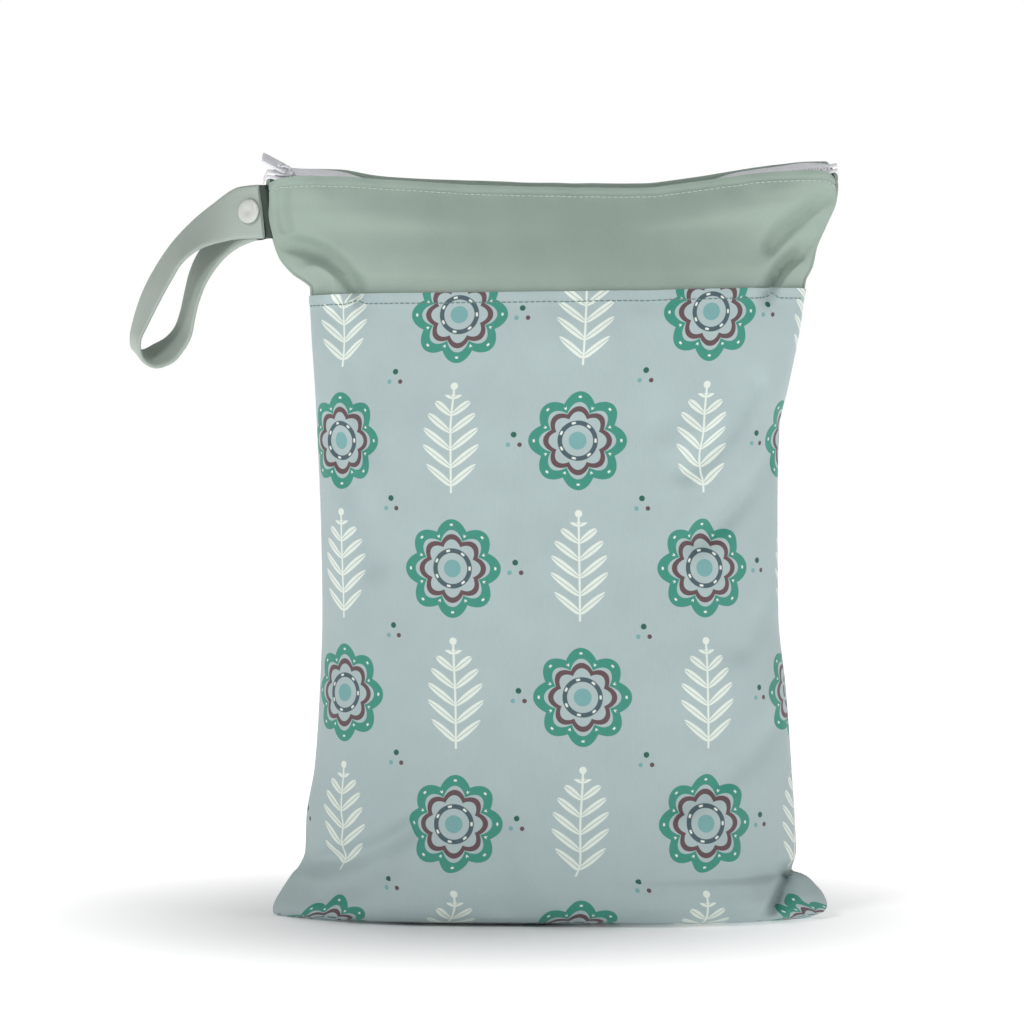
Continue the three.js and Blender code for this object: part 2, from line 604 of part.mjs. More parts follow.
const bag = new THREE.Group();
bag.add(backPanel(), frontPanel(), pocketPanel());
bag.add(zipTape("zip_tape_front", -1), zipTape("zip_tape_back", 1), zipCoil(), zipHead());
bag.add(strap(), snapDisc("snap_cap", snapFront, -1, white), snapDisc("snap_back", snapBehind, -1, white));

// The origin is the middle of the whole bag's footprint, on the floor.
const extent = new THREE.Box3().setFromObject(bag, true);
const footprint = extent.getCenter(new THREE.Vector3());
bag.position.set(-footprint.x, -footprint.y, -extent.min.z);

export default bag;
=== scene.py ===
import math
import bmesh
import bpy
import numpy as np
from mathutils import Matrix, Vector


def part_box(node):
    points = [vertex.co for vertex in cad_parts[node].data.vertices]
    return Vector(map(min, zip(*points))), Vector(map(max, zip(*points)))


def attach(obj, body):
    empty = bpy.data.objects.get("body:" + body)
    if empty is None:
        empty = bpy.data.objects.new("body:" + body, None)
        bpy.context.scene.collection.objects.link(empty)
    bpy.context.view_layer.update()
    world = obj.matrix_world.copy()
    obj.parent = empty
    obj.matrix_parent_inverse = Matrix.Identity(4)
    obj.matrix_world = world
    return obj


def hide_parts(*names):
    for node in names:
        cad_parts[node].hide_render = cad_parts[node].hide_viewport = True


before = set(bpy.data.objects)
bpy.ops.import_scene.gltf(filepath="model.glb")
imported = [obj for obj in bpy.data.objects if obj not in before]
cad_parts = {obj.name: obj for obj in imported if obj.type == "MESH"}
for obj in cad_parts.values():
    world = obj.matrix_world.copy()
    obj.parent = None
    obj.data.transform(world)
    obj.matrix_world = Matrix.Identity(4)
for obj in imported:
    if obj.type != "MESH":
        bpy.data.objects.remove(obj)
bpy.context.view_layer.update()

MM = 0.001
BAG = "bag"
PULL = "pull_tab"

# Camera, light and floor
CAMERA_DISTANCE = 2.4
CAMERA_RISE = math.radians(1.8)
FRAME_WIDTH = 0.5386
FRAME_CENTRE = Vector((0.0158, 0.0, 0.2133))
SENSOR = 36.0
FLOOR_SIZE = 16.0
# The floor glows with painted light: none within PAPER_DARK of the bag, rising over PAPER_FADE to
# PAPER_GLOW
PAPER_DARK = 0.05
PAPER_FADE = 0.3
PAPER_GLOW = 0.97
KEY_WATTS = 13.5
FILL_WATTS = 5.5
TOP_WATTS = 3
WORLD_LOW = 0.13
WORLD_BAND = 0.22
WORLD_EDGE = 0.08
LIGHT_AIM = (0, 0, 0.2)

# Driving sizes of the bag in millimetres
BAG_WIDTH = 300.0
BAG_HEIGHT = 400.0
BAG_DEPTH = 112.0
MOUTH_SAG = 14.0
SEAM_TURN = 0.04
HEM_TILT = 4.5
TILT_REACH = 6
SHELL_WALL = 1.5
POCKET_WALL = 1.4
POCKET_HEIGHT = 330.0
CLEARANCE = 0.3
TAPE_THICKNESS = 1.0
TAPE_FLANGE = 7.0
TAPE_END_DROP = 4.0
TAPE_END_REACH = 2.0
TAPE_RIGHT_REACH = 0.2
TAPE_END_WIDTH = 1.6
COIL_WIDTH = 3.0
COIL_HEIGHT = 2.0
STRAP_WIDTH = 28.5
STRAP_THICKNESS = 2.4
STRAP_REACH = 74.0
STRAP_DROP = 96.0
STRAP_TOP = 385.4
SNAP_DIAMETER = 13.0
SNAP_THICKNESS = 2.2
SNAP_SEAT = 0.7
SLIDER_LENGTH = 9.0
SLIDER_WIDTH = 8.0
SLIDER_PLATE = 1.2
SLIDER_FROM_SIDE = 8.5
BRIDGE_WIDTH = 1.8
BRIDGE_BAR = 1.2
BRIDGE_SPAN = 4.0
BRIDGE_CLEAR = 2.2
PULL_LENGTH = 13.5
PULL_WIDTH = 8.5
PULL_THICKNESS = 1.3
PULL_WINDOW = 4.6
PULL_LIFT = math.radians(25)
FLANGE_END = 0.93
FLANGE_FADE = 0.1
COIL_END = 0.985
TAPE_END_TURN = 1 / 40
SNAP_FRONT = 0.035
SNAP_BEHIND = 0.938
MOUTH_REACH = 12
FOLD_FADE = 0.03
FOLD_EDGE = 12
SEAM_ALLOWANCE = 5.5
STITCH_PITCH = 3.0
STITCH_LENGTH = 2.3
STITCH_RADIUS = 0.3
STITCH_LIFT = 0.08
STITCH_GROOVE = 0.45
STITCH_TRIM = 3.0
STITCH_SLIP = 0.12
STITCH_SLANT = 0.05
STITCH_AHEAD = 0.6
PUCKER_WAVE = 3.2
PUCKER_FALL = 9
PUCKER_REACH = 7.0
PUCKER_SIZE = 0.35
STRAP_TUCK = 3.7
# Painted shade on the strap: near the side seam its colour is darkened by these shares, from this
# far along the band
STRAP_PAINTED_SHADE_FROM = 221.0
STRAP_PAINTED_SHADE = (0.09, 0.13, 0.105)

SECTION_COLUMNS = ("height", "left", "right", "front", "back", "power", "taper", "fin")
SECTIONS = (
    (0, -0.481, 0.443, 0.26, 0.26, 4, 1, 1),
    (0.0035, -0.49, 0.459, 0.36, 0.36, 4, 1, 1),
    (0.01, -0.491, 0.478, 0.43, 0.43, 4, 1, 1),
    (0.018, -0.488, 0.482, 0.462, 0.462, 4, 1, 1),
    (0.03, -0.479, 0.477, 0.485, 0.485, 3.9, 1, 1),
    (0.043, -0.468, 0.463, 0.495, 0.495, 3.7, 1, 1),
    (0.056, -0.456, 0.444, 0.5, 0.5, 3.6, 0.95, 0.9),
    (0.063, -0.447, 0.42, 0.503, 0.503, 3.5, 0.9, 0.8),
    (0.087, -0.434, 0.428, 0.51, 0.51, 3.2, 0.8, 0.6),
    (0.13, -0.432, 0.426, 0.52, 0.52, 2.8, 0.7, 0.3),
    (0.2, -0.417, 0.42, 0.53, 0.53, 2.5, 0.6, 0),
    (0.3, -0.408, 0.41, 0.53, 0.53, 2.3, 0.55, 0),
    (0.4, -0.4035, 0.3965, 0.51, 0.52, 2.3, 0.55, 0),
    (0.55, -0.407, 0.3947, 0.48, 0.5, 2.2, 0.55, 0),
    (0.64, -0.412, 0.397, 0.455, 0.48, 2.2, 0.55, 0),
    (0.7, -0.416, 0.414, 0.435, 0.45, 2.2, 0.58, 0),
    (0.78, -0.4225, 0.435, 0.4, 0.41, 2.2, 0.65, 0.1),
    (0.836, -0.4245, 0.444, 0.35, 0.36, 2.2, 0.75, 0.3),
    (0.8435, -0.4348, 0.449, 0.34, 0.35, 2.2, 0.78, 0.35),
    (0.855, -0.455, 0.456, 0.325, 0.33, 2.2, 0.8, 0.4),
    (0.88, -0.4796, 0.463, 0.28, 0.28, 2.3, 0.9, 0.6),
    (0.91, -0.4915, 0.4787, 0.22, 0.22, 2.6, 1, 0.8),
    (0.95, -0.5, 0.497, 0.145, 0.145, 6, 1, 1),
    (0.98, -0.5, 0.5, 0.1, 0.1, 10, 0.7, 1),
    (1, -0.4995, 0.4975, 0.08, 0.08, 12, 0.6, 1),
)
MOUTH_COLUMNS = ("across", "front_lip", "back_lip", "zipper", "roll")
MOUTH = (
    (-1, 0.98, 0.85, 0.6, 30),
    (-0.94, 0.8, 0.5, 0.66, 34),
    (-0.88, 0.72, 0.42, 0.74, 32),
    (-0.75, 0.735, 0.45, 0.8, 26),
    (-0.62, 0.83, 0.68, 1.06, 16),
    (-0.5, 0.905, 0.79, 1.15, 10),
    (-0.25, 1.06, 0.885, 1.3, 0),
    (0, 1.13, 0.97, 1.4, 0),
    (0.3, 1.165, 1, 1.4, 0),
    (0.5, 0.94, 0.77, 1.15, 8),
    (0.65, 0.715, 0.51, 0.78, 18),
    (0.8, 0.565, 0.285, 0.635, 26),
    (0.9, 0.54, 0.19, 0.51, 30),
    (0.96, 0.57, 0.18, 0.47, 30),
    (1, 0.85, 0.7, 0.4, 30),
)
# Folds run from one point to another, as shares of the width and height, and bow by a share of
# the width. Their spread and depth are in millimetres.
FOLD_COLUMNS = ("side", "x1", "z1", "x2", "z2", "bow", "spread", "depth")
FOLDS = (
    ("front", -0.475, 0.885, -0.338, 0.822, 0.024, 4.2, 7),
    ("front", -0.42, 0.855, -0.385, 0.835, 0.01, 6.5, -3.4),
    ("front", 0.51, 0.955, 0.38, 0.885, -0.01, 3.8, 5.4),
    ("front", 0.46, 0.89, 0.37, 0.82, -0.01, 3.6, 5.6),
    ("front", 0.43, 0.87, 0.385, 0.83, -0.01, 2.6, 3),
    ("front", 0.35, 0.7, 0.23, 0.59, 0.012, 6, 4.4),
    ("front", 0.4, 0.63, 0.25, 0.5, 0.012, 6.5, 4.6),
    ("front", 0.41, 0.27, 0.22, 0.16, 0.01, 8, 4.2),
    ("front", -0.4, 0.65, -0.31, 0.47, 0.01, 8, 4.2),
    ("front", -0.42, 0.075, -0.25, 0.125, -0.012, 6, 5.4),
    ("front", 0.413, 0.064, 0.376, 0.012, 0, 4.2, 15),
    ("front", -0.11, 0.13, -0.09, 0.02, 0, 14, 5),
    ("front", -0.476, 0.955, -0.47, 0.905, -0.004, 3.4, 4.4),
    ("front", 0.08, 0.11, 0.1, 0.02, 0, 16, 3),
    ("front", -0.39, 0.8, -0.33, 0.62, 0.012, 6, 2.8),
    ("front", 0.42, 0.5, 0.33, 0.36, 0.01, 7, 3.2),
    ("front", 0.30, 0.66, 0.2, 0.62, 0, 7, -1.6),
    ("front", -0.3, 0.07, -0.4, 0.03, 0, 6, 2.4),
    ("front", 0.3, 0.1, 0.36, 0.03, 0, 7, -2),
    ("back", -0.45, 0.9, -0.3, 0.8, -0.02, 9, 5.6),
    ("back", 0.46, 0.9, 0.3, 0.78, 0.02, 9, 5.6),
    ("back", -0.38, 0.55, -0.2, 0.42, 0.01, 11, 4),
    ("back", 0.38, 0.33, 0.18, 0.22, -0.01, 11, 4),
    ("back", -0.36, 0.25, -0.24, 0.12, 0.01, 8, 2.6),
    ("back", 0.37, 0.7, 0.22, 0.62, 0.01, 8, 2.6),
    ("back", 0.05, 0.12, 0.02, 0.02, 0, 14, 4),
)
STRAP_COLUMNS = ("near_reach", "near_drop", "far_reach", "far_drop", "depth")
STRAP_STATIONS = (
    (0.021, 0.295, 0.057, 0, -0.04),
    (0.12, 0.295, 0.142, 0.003, 0.11),
    (0.248, 0.301, 0.234, 0.016, 0.26),
    (0.39, 0.328, 0.397, 0.098, 0.35),
    (0.511, 0.366, 0.546, 0.191, 0.4),
    (0.603, 0.426, 0.702, 0.317, 0.42),
    (0.688, 0.525, 0.83, 0.47, 0.42),
    (0.773, 0.645, 0.922, 0.612, 0.42),
    (0.851, 0.765, 0.979, 0.743, 0.42),
    (0.901, 0.863, 1, 0.836, 0.43),
    (0.879, 0.956, 0.986, 0.891, 0.46),
    (0.794, 1, 0.922, 0.907, 0.51),
    (0.674, 0.973, 0.837, 0.874, 0.56),
    (0.603, 0.907, 0.752, 0.836, 0.61),
    (0.553, 0.831, 0.688, 0.781, 0.64),
    (0.525, 0.738, 0.645, 0.699, 0.66),
    (0.489, 0.634, 0.61, 0.585, 0.67),
    (0.44, 0.536, 0.574, 0.47, 0.67),
    (0.376, 0.459, 0.525, 0.38, 0.66),
    (0.291, 0.388, 0.44, 0.28, 0.61),
    (0.191, 0.339, 0.312, 0.16, 0.47),
    (0.078, 0.306, 0.163, 0.045, 0.27),
    (0.012, 0.297, 0.064, 0.002, 0.11),
    (-0.01, 0.295, 0.046, 0, 0.02),
)

# Soft waves all over the cloth: height, length across and length up in mm, and step of the seed
CLOTH_WAVES = ((0.9, 16, 24, 0), (0.3, 5, 8, 10))
CLOTH_SEEDS = {"front": 11, "back": 12}
WAVE_COUNT = 9
WAVE_RATES = (0.6, 1.6)

# Mesh steps
ACROSS_STEPS = 150
BASE_STEPS = 14
LOWER_STEPS = 150
UPPER_STEPS = 56
ZIP_STEPS = 240
STRAP_STEPS = 200
ROUND_SIDES = 56

LEFT_TOP = SECTIONS[-1][1] * BAG_WIDTH
SLIDER_AT = LEFT_TOP + SLIDER_FROM_SIDE
SHIFT = Vector((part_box("back_panel")[0][0] - LEFT_TOP * MM, 0.0, 0.0))


def curve_through(columns, rows, column):
    """A smooth curve through the rows of a table that doesn't overshoot them."""
    at = np.array([row[0] for row in rows], dtype=float)
    value = np.array([row[columns.index(column)] for row in rows], dtype=float)
    slope = np.diff(value) / np.diff(at)
    tangent = np.empty_like(value)
    tangent[0], tangent[-1] = slope[0], slope[-1]
    product = slope[:-1] * slope[1:]
    total = slope[:-1] + slope[1:]
    safe = np.where(total == 0, 1, total)
    tangent[1:-1] = np.where(product <= 0, 0, 2 * product / safe)

    def curve(x):
        x = np.asarray(x, dtype=float)
        i = np.clip(np.searchsorted(at, x, side="right") - 1, 0, len(at) - 2)
        span = at[i + 1] - at[i]
        t = np.clip((x - at[i]) / span, 0, 1)
        bend = t * t * (3 - 2 * t)
        enter = t * (1 - t) ** 2 * tangent[i]
        leave = t * t * (t - 1) * tangent[i + 1]
        return value[i] + bend * (value[i + 1] - value[i]) + span * (enter + leave)

    return curve


def curves_of(columns, rows):
    return {name: curve_through(columns, rows, name) for name in columns[1:]}


section_at = curves_of(SECTION_COLUMNS, SECTIONS)
mouth_at = curves_of(MOUTH_COLUMNS, MOUTH)


def smoothstep(x, low, high):
    t = np.clip((x - low) / (high - low), 0, 1)
    return t * t * (3 - 2 * t)


def seam_depth(x):
    return -SEAM_TURN * x


def ripple(x, z, seed):
    """Soft uneven waves about one unit high, the same each run."""
    draw = np.random.default_rng(seed)
    total = np.zeros(np.broadcast(x, z).shape)
    for _ in range(WAVE_COUNT):
        angle = draw.uniform(0, math.tau)
        phase = draw.uniform(0, math.tau)
        rate = draw.uniform(*WAVE_RATES)
        total += np.sin(rate * (x * math.cos(angle) + z * math.sin(angle)) + phase)
    return total / math.sqrt(WAVE_COUNT)


def fold_depth(side, x, z):
    """How far the folds and soft waves of one side press its surface in."""
    total = np.zeros_like(x)
    for row in FOLDS:
        fold = dict(zip(FOLD_COLUMNS, row))
        if fold["side"] != side:
            continue
        start = np.array([fold["x1"] * BAG_WIDTH, fold["z1"] * BAG_HEIGHT])
        along = np.array([fold["x2"] * BAG_WIDTH, fold["z2"] * BAG_HEIGHT]) - start
        length = np.hypot(*along)
        along /= length
        dx, dz = x - start[0], z - start[1]
        t = (dx * along[0] + dz * along[1]) / length
        off = along[0] * dz - along[1] * dx - fold["bow"] * BAG_WIDTH * 4 * t * (1 - t)
        past = np.maximum(0, np.maximum(-t, t - 1)) * length
        total += fold["depth"] * np.exp(-(off * off + past * past) / fold["spread"] ** 2)
    total += sum(
        size * ripple(x / across, z / up, CLOTH_SEEDS[side] + step)
        for size, across, up, step in CLOTH_WAVES
    )
    return total * smoothstep(z / BAG_HEIGHT, 0, FOLD_FADE)


def bulge_shape(s, power, taper):
    return np.maximum(0, 1 - np.abs(s) ** power) ** taper


def skin(side, across, height, under):
    """Points of the bag's outermost surface, in millimetres."""
    row = {name: curve(height) for name, curve in section_at.items()}
    s = np.sin(across * math.pi / 2)
    x = BAG_WIDTH * (row["left"] + (row["right"] - row["left"]) * (s + 1) / 2)
    lip = mouth_at[side + "_lip"](s) * MOUTH_SAG
    level = height ** TILT_REACH
    tilt = HEM_TILT * 4 * level * (1 - level) * x / BAG_WIDTH
    z = BAG_HEIGHT * height - lip * height ** MOUTH_REACH + tilt
    edge = np.minimum(1, FOLD_EDGE * (1 - np.abs(s)))
    fold = np.where(under < 1, 0, edge * fold_depth(side, x, z))
    bulge = BAG_DEPTH * row[side] * bulge_shape(s, row["power"], row["taper"])
    bulge = np.maximum(0, bulge - fold)
    depth = CLEARANCE / 2 + under * (row["fin"] * STACK[side] + bulge)
    return np.stack([x, seam_depth(x) + OUTWARD[side] * depth, z], axis=-1)


FRONT_STACK = SHELL_WALL + CLEARANCE + POCKET_WALL
STACK = {"front": FRONT_STACK, "back": SHELL_WALL}
OUTWARD = {"front": -1, "back": 1}
HEM = POCKET_HEIGHT / BAG_HEIGHT

across_list = 2 * np.arange(ACROSS_STEPS + 1) / ACROSS_STEPS - 1
lower_share = 1 - np.cos(math.pi / 2 * np.arange(LOWER_STEPS + 1) / LOWER_STEPS)
ring_height = np.concatenate([
    np.zeros(BASE_STEPS),
    HEM * lower_share,
    HEM + (1 - HEM) * (np.arange(UPPER_STEPS) + 1) / UPPER_STEPS,
])
ring_under = np.concatenate([
    np.arange(BASE_STEPS) / BASE_STEPS,
    np.ones(LOWER_STEPS + 1 + UPPER_STEPS),
])
HEM_RING = BASE_STEPS + LOWER_STEPS


def unit(vectors):
    return vectors / np.maximum(1e-9, np.linalg.norm(vectors, axis=-1, keepdims=True))


def inward_normals(grid, side):
    acrossway = np.gradient(grid, axis=1)
    upway = np.gradient(grid, axis=0)
    return -OUTWARD[side] * unit(np.cross(upway, acrossway))


def layer(side, depth, raise_by=None):
    """The skin moved inwards by depth and kept on its own side of the seams."""
    height, across = np.meshgrid(ring_height, across_list, indexing="ij")
    under = np.broadcast_to(ring_under[:, None], height.shape)
    points = skin(side, across, height, under)
    inward = inward_normals(points, side)
    out = OUTWARD[side]
    inset = depth if raise_by is None else depth - raise_by(points, height)
    inset = np.broadcast_to(inset, height.shape)
    moved = points + inward * inset[..., None]
    floor = np.where(under < 1, depth, 0)
    moved[..., 2] = np.maximum(moved[..., 2], floor)
    keep = CLEARANCE / 2 + section_at["fin"](height) * under * (STACK[side] - depth)
    beyond = out * (moved[..., 1] - seam_depth(moved[..., 0]))
    fixed = seam_depth(moved[..., 0]) + out * keep
    moved[..., 1] = np.where(beyond < keep, fixed, moved[..., 1])
    return moved


# Meshes and pieces
def new_object(name, vertices, faces, uvs=None, smooth=50):
    mesh = bpy.data.meshes.new(name)
    mesh.from_pydata((np.asarray(vertices) * MM + np.array(SHIFT)).tolist(), [], faces)
    mesh.validate()
    if uvs is not None:
        loops = np.empty(len(mesh.loops), dtype=np.int32)
        mesh.loops.foreach_get("vertex_index", loops)
        mesh.uv_layers.new(name="cloth").data.foreach_set("uv", np.asarray(uvs)[loops].ravel())
    mesh.polygons.foreach_set("use_smooth", [True] * len(mesh.polygons))
    mesh.set_sharp_from_angle(angle=math.radians(smooth))
    thing = bpy.data.objects.new(name, mesh)
    bpy.context.scene.collection.objects.link(thing)
    return thing


def finish_piece(thing, body, slot, material, *nodes):
    """Dresses a piece, puts it on its body and says which CAD nodes it replaces."""
    thing.data.materials.clear()
    thing.data.materials.append(material)
    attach(thing, body)
    if nodes:
        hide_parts(*nodes)


def cloth_uv(grid):
    """Distances over the cloth in millimetres, from its middle column and lowest row."""
    middle = grid.shape[1] // 2
    sideways = np.linalg.norm(np.diff(grid, axis=1), axis=-1)
    u = np.concatenate([np.zeros((grid.shape[0], 1)), np.cumsum(sideways, axis=1)], axis=1)
    u -= u[:, middle:middle + 1]
    upwards = np.linalg.norm(np.diff(grid[:, middle], axis=0), axis=-1)
    v = np.concatenate([[0], np.cumsum(upwards)])
    return np.stack([u, np.broadcast_to(v[:, None], u.shape)], axis=-1)


def wall_between(name, outer, inner, flip):
    """A closed wall with two grids as its faces and a rim all round."""
    rows, cols = outer.shape[:2]
    a = np.arange(rows * cols).reshape(rows, cols)
    b = a + rows * cols
    quads = (
        (a[:-1, :-1], a[:-1, 1:], a[1:, 1:], a[1:, :-1]),
        (b[:-1, :-1], b[1:, :-1], b[1:, 1:], b[:-1, 1:]),
        (a[:-1, 0], a[1:, 0], b[1:, 0], b[:-1, 0]),
        (a[:-1, -1], b[:-1, -1], b[1:, -1], a[1:, -1]),
        (a[0, :-1], b[0, :-1], b[0, 1:], a[0, 1:]),
        (a[-1, :-1], a[-1, 1:], b[-1, 1:], b[-1, :-1]),
    )
    faces = np.concatenate([np.stack(quad, -1).reshape(-1, 4) for quad in quads])
    if flip:
        faces = faces[:, ::-1]
    vertices = np.concatenate([outer.reshape(-1, 3), inner.reshape(-1, 3)])
    uv = cloth_uv(outer).reshape(-1, 2)
    return new_object(name, vertices, faces.tolist(), np.concatenate([uv, uv]))


def loft(name, rings, uvs=None, smooth=50):
    """A closed body through rings of points, with a flat cap at each end."""
    rows, cols = rings.shape[:2]
    index = np.arange(rows * cols).reshape(rows, cols)
    after = np.roll(index, -1, axis=1)
    sides = np.stack([index[:-1], after[:-1], after[1:], index[1:]], -1).reshape(-1, 4).tolist()
    caps = [index[0][::-1].tolist(), index[-1].tolist()]
    return new_object(name, rings.reshape(-1, 3), sides + caps, uvs, smooth)


# Materials
def linear(*rgb):
    """A display colour of 0 to 255 a channel, as linear light."""
    return tuple(((c / 255 + 0.055) / 1.055) ** 2.4 for c in rgb)


SAGE = linear(150, 167, 156)
SAGE_STRAP = linear(168, 180, 171)
GROUND = linear(170, 187, 188)
PINE = linear(22, 92, 74)
TEAL = linear(52, 140, 122)
MIST = linear(116, 166, 166)
MAUVE = linear(94, 70, 74)
SLATE = linear(66, 88, 96)
CREAM = linear(226, 234, 224)
WHITE = linear(238, 239, 242)
TAPE_SHADE = linear(222, 224, 229)
WORN_SHARE = 0.93

# Pitch of the knit and of the tape's weave in millimetres
WALE_PITCH = 1.15
COURSE_PITCH = 0.9
WEFT_PITCH = 0.8
WARP_PITCH = 0.7
# Width of the soft edge of the strap's painted shade
PAINTED_SHADE_EDGE = 3.0


class Field:
    """A number on the surface, worked out by math nodes."""

    def __init__(self, tree, socket):
        self.tree = tree
        self.socket = socket

    def _math(self, operation, *others, clamp=False):
        node = self.tree.nodes.new("ShaderNodeMath")
        node.operation = operation
        node.use_clamp = clamp
        for place, value in enumerate((self, *others)):
            if isinstance(value, Field):
                self.tree.links.new(value.socket, node.inputs[place])
            else:
                node.inputs[place].default_value = value
        return Field(self.tree, node.outputs[0])

    def __add__(self, other):
        return self._math("ADD", other)

    def __sub__(self, other):
        return self._math("SUBTRACT", other)

    def __mul__(self, other):
        return self._math("MULTIPLY", other)

    def __truediv__(self, other):
        return self._math("DIVIDE", other)

    def absolute(self):
        return self._math("ABSOLUTE")

    def floor(self):
        return self._math("FLOOR")

    def wrap(self, size):
        return self._math("FLOORED_MODULO", size)

    def sine(self):
        return self._math("SINE")

    def cosine(self):
        return self._math("COSINE")

    def root(self):
        return self._math("MAXIMUM", 0.0)._math("SQRT")

    def angle_to(self, other):
        return self._math("ARCTAN2", other)

    def clamped(self):
        return self._math("ADD", 0.0, clamp=True)

    def above(self, other, soft=0.25):
        """One where this is above the other, with a soft edge this many units wide."""
        return ((self - other) / soft + 0.5).clamped()

    def below(self, other, soft=0.25):
        return ((self * -1.0 + other) / soft + 0.5).clamped()


def new_material(name, roughness=0.6, sheen=0.0, coat=0.0):
    material = bpy.data.materials.new(name)
    material.use_nodes = True
    tree = material.node_tree
    shader = tree.nodes["Principled BSDF"]
    shader.inputs["Roughness"].default_value = roughness
    shader.inputs["Sheen Weight"].default_value = sheen
    shader.inputs["Sheen Roughness"].default_value = 0.45
    shader.inputs["Coat Weight"].default_value = coat
    return material, tree, shader


def split(tree, vector):
    """The three parts of a vector."""
    node = tree.nodes.new("ShaderNodeSeparateXYZ")
    tree.links.new(vector, node.inputs[0])
    return [Field(tree, part) for part in node.outputs]


def cloth_place(tree):
    """The cloth's own coordinates in millimetres, across and up."""
    uv = tree.nodes.new("ShaderNodeUVMap")
    uv.uv_map = "cloth"
    across, up, _ = split(tree, uv.outputs["UV"])
    return uv.outputs["UV"], across, up


def noise(tree, vector, scale, detail=3.0, stretch=(1, 1, 1)):
    spread = tree.nodes.new("ShaderNodeMapping")
    spread.inputs["Scale"].default_value = stretch
    tree.links.new(vector, spread.inputs["Vector"])
    node = tree.nodes.new("ShaderNodeTexNoise")
    node.inputs["Scale"].default_value = scale
    node.inputs["Detail"].default_value = detail
    tree.links.new(spread.outputs[0], node.inputs["Vector"])
    return Field(tree, node.outputs["Fac"])


def set_colour(tree, socket, colour):
    if isinstance(colour, tuple):
        socket.default_value = (*colour, 1.0)
    else:
        tree.links.new(colour, socket)


def mix_colour(tree, factor, low, high):
    node = tree.nodes.new("ShaderNodeMix")
    node.data_type = "RGBA"
    tree.links.new(factor.socket, node.inputs["Factor"])
    for name, value in (("A", low), ("B", high)):
        socket = [s for s in node.inputs if s.name == name and s.type == "RGBA"][0]
        set_colour(tree, socket, value)
    return [s for s in node.outputs if s.type == "RGBA"][0]


def add_bump(tree, shader, height, strength, distance):
    bump = tree.nodes.new("ShaderNodeBump")
    bump.inputs["Strength"].default_value = strength
    bump.inputs["Distance"].default_value = distance
    tree.links.new(height.socket, bump.inputs["Height"])
    tree.links.new(bump.outputs[0], shader.inputs["Normal"])


def knit_finish(tree, shader, uv, across, up, colour):
    """Fine upright wales with small loops, a little uneven colour and satin patches."""
    wale_turn = across * (math.tau / WALE_PITCH)
    wale = (wale_turn.sine() + 1.0) * 0.5
    course = ((up * (math.tau / COURSE_PITCH) + wale_turn).sine() + 1.0) * 0.5
    patch = noise(tree, uv, 0.045)
    fibre = noise(tree, uv, 0.9, 2.0, (1.6, 0.25, 1))
    tone = patch * 0.5 + fibre * 0.3 + wale * 0.12
    darker = tree.nodes.new("ShaderNodeHueSaturation")
    set_colour(tree, darker.inputs["Color"], colour)
    value = tone * 0.26 + 0.88
    tree.links.new(value.socket, darker.inputs["Value"])
    tree.links.new(darker.outputs[0], shader.inputs["Base Color"])
    rough = patch * 0.16 + fibre * 0.06 + 0.46
    tree.links.new(rough.socket, shader.inputs["Roughness"])
    add_bump(tree, shader, wale * 0.7 + course * 0.3 + fibre * 0.6, 0.35, 0.18 * MM)


def knit_material(name, colour, painted_shade_from=None):
    """Plain knit, darkened with painted shade from this far along the cloth when a start is given.
    """
    material, tree, shader = new_material(name, sheen=0.12)
    uv, across, up = cloth_place(tree)
    # Painted shade: past the given length the colour turns darker
    if painted_shade_from is not None:
        painted_shade_colour = tuple(c * share for c, share in zip(colour, STRAP_PAINTED_SHADE))
        colour = mix_colour(tree, up.above(painted_shade_from, PAINTED_SHADE_EDGE), colour, painted_shade_colour)
    knit_finish(tree, shader, uv, across, up, colour)
    return material


# The print: folk flowers and cream sprigs in a half drop, with seeds between them
COLUMN_PITCH = 66.0
ROW_PITCH = 132.0
PETALS = 8
FLOWER_RADIUS = 20.5
PETAL_BULGE = 5.0
PETAL_BAND = 5.6
INNER_BAND = (11.8, 14.6)
INNER_BULGE = 3.2
SLATE_BAND = (8.0, 10.4)
BEAD_BAND = (8.7, 9.8)
RIM_BEAD_BAND = (3.4, 2.3)
MIDDLE_RADIUS = 4.6
SPRIG_HALF = 26.0
SPRIG_REACH = 15.0
LEAF_PITCH = 9.0
LEAF_SLOPE = 0.75
LEAF_HALF = 2.3
LEAF_LIMIT = 24.0
VEIN_HALF = 0.28
STEM_HALF = 0.55
STEM_LIMIT = 27.0
BUD_AT = 28.5
BUD_RADIUS = 1.9
PRINT_SHIFT = (18.0, 26.0)
SEED_SHIFT = (51.0, -7.0)
SEED_COLUMNS = ("x", "y", "radius", "colour")
SEEDS = ((0.0, 3.2, 1.5, PINE), (-3.0, -2.0, 1.2, MIST), (3.0, -2.0, 1.2, MAUVE))


def cell_place(across, up, shift_x, shift_y, row_pitch=ROW_PITCH):
    """A motif's own coordinates, from the repeat that it lies in."""
    moved = across + shift_x
    column = (moved / COLUMN_PITCH).floor()
    x = moved.wrap(COLUMN_PITCH) - COLUMN_PITCH / 2
    drop = column.wrap(2.0) * (row_pitch / 2)
    y = (up + drop + shift_y).wrap(row_pitch) - row_pitch / 2
    return x, y


def distance(x, y):
    return (x * x + y * y).root()


def ring(radius, inner, outer):
    return radius.above(inner) * radius.below(outer)


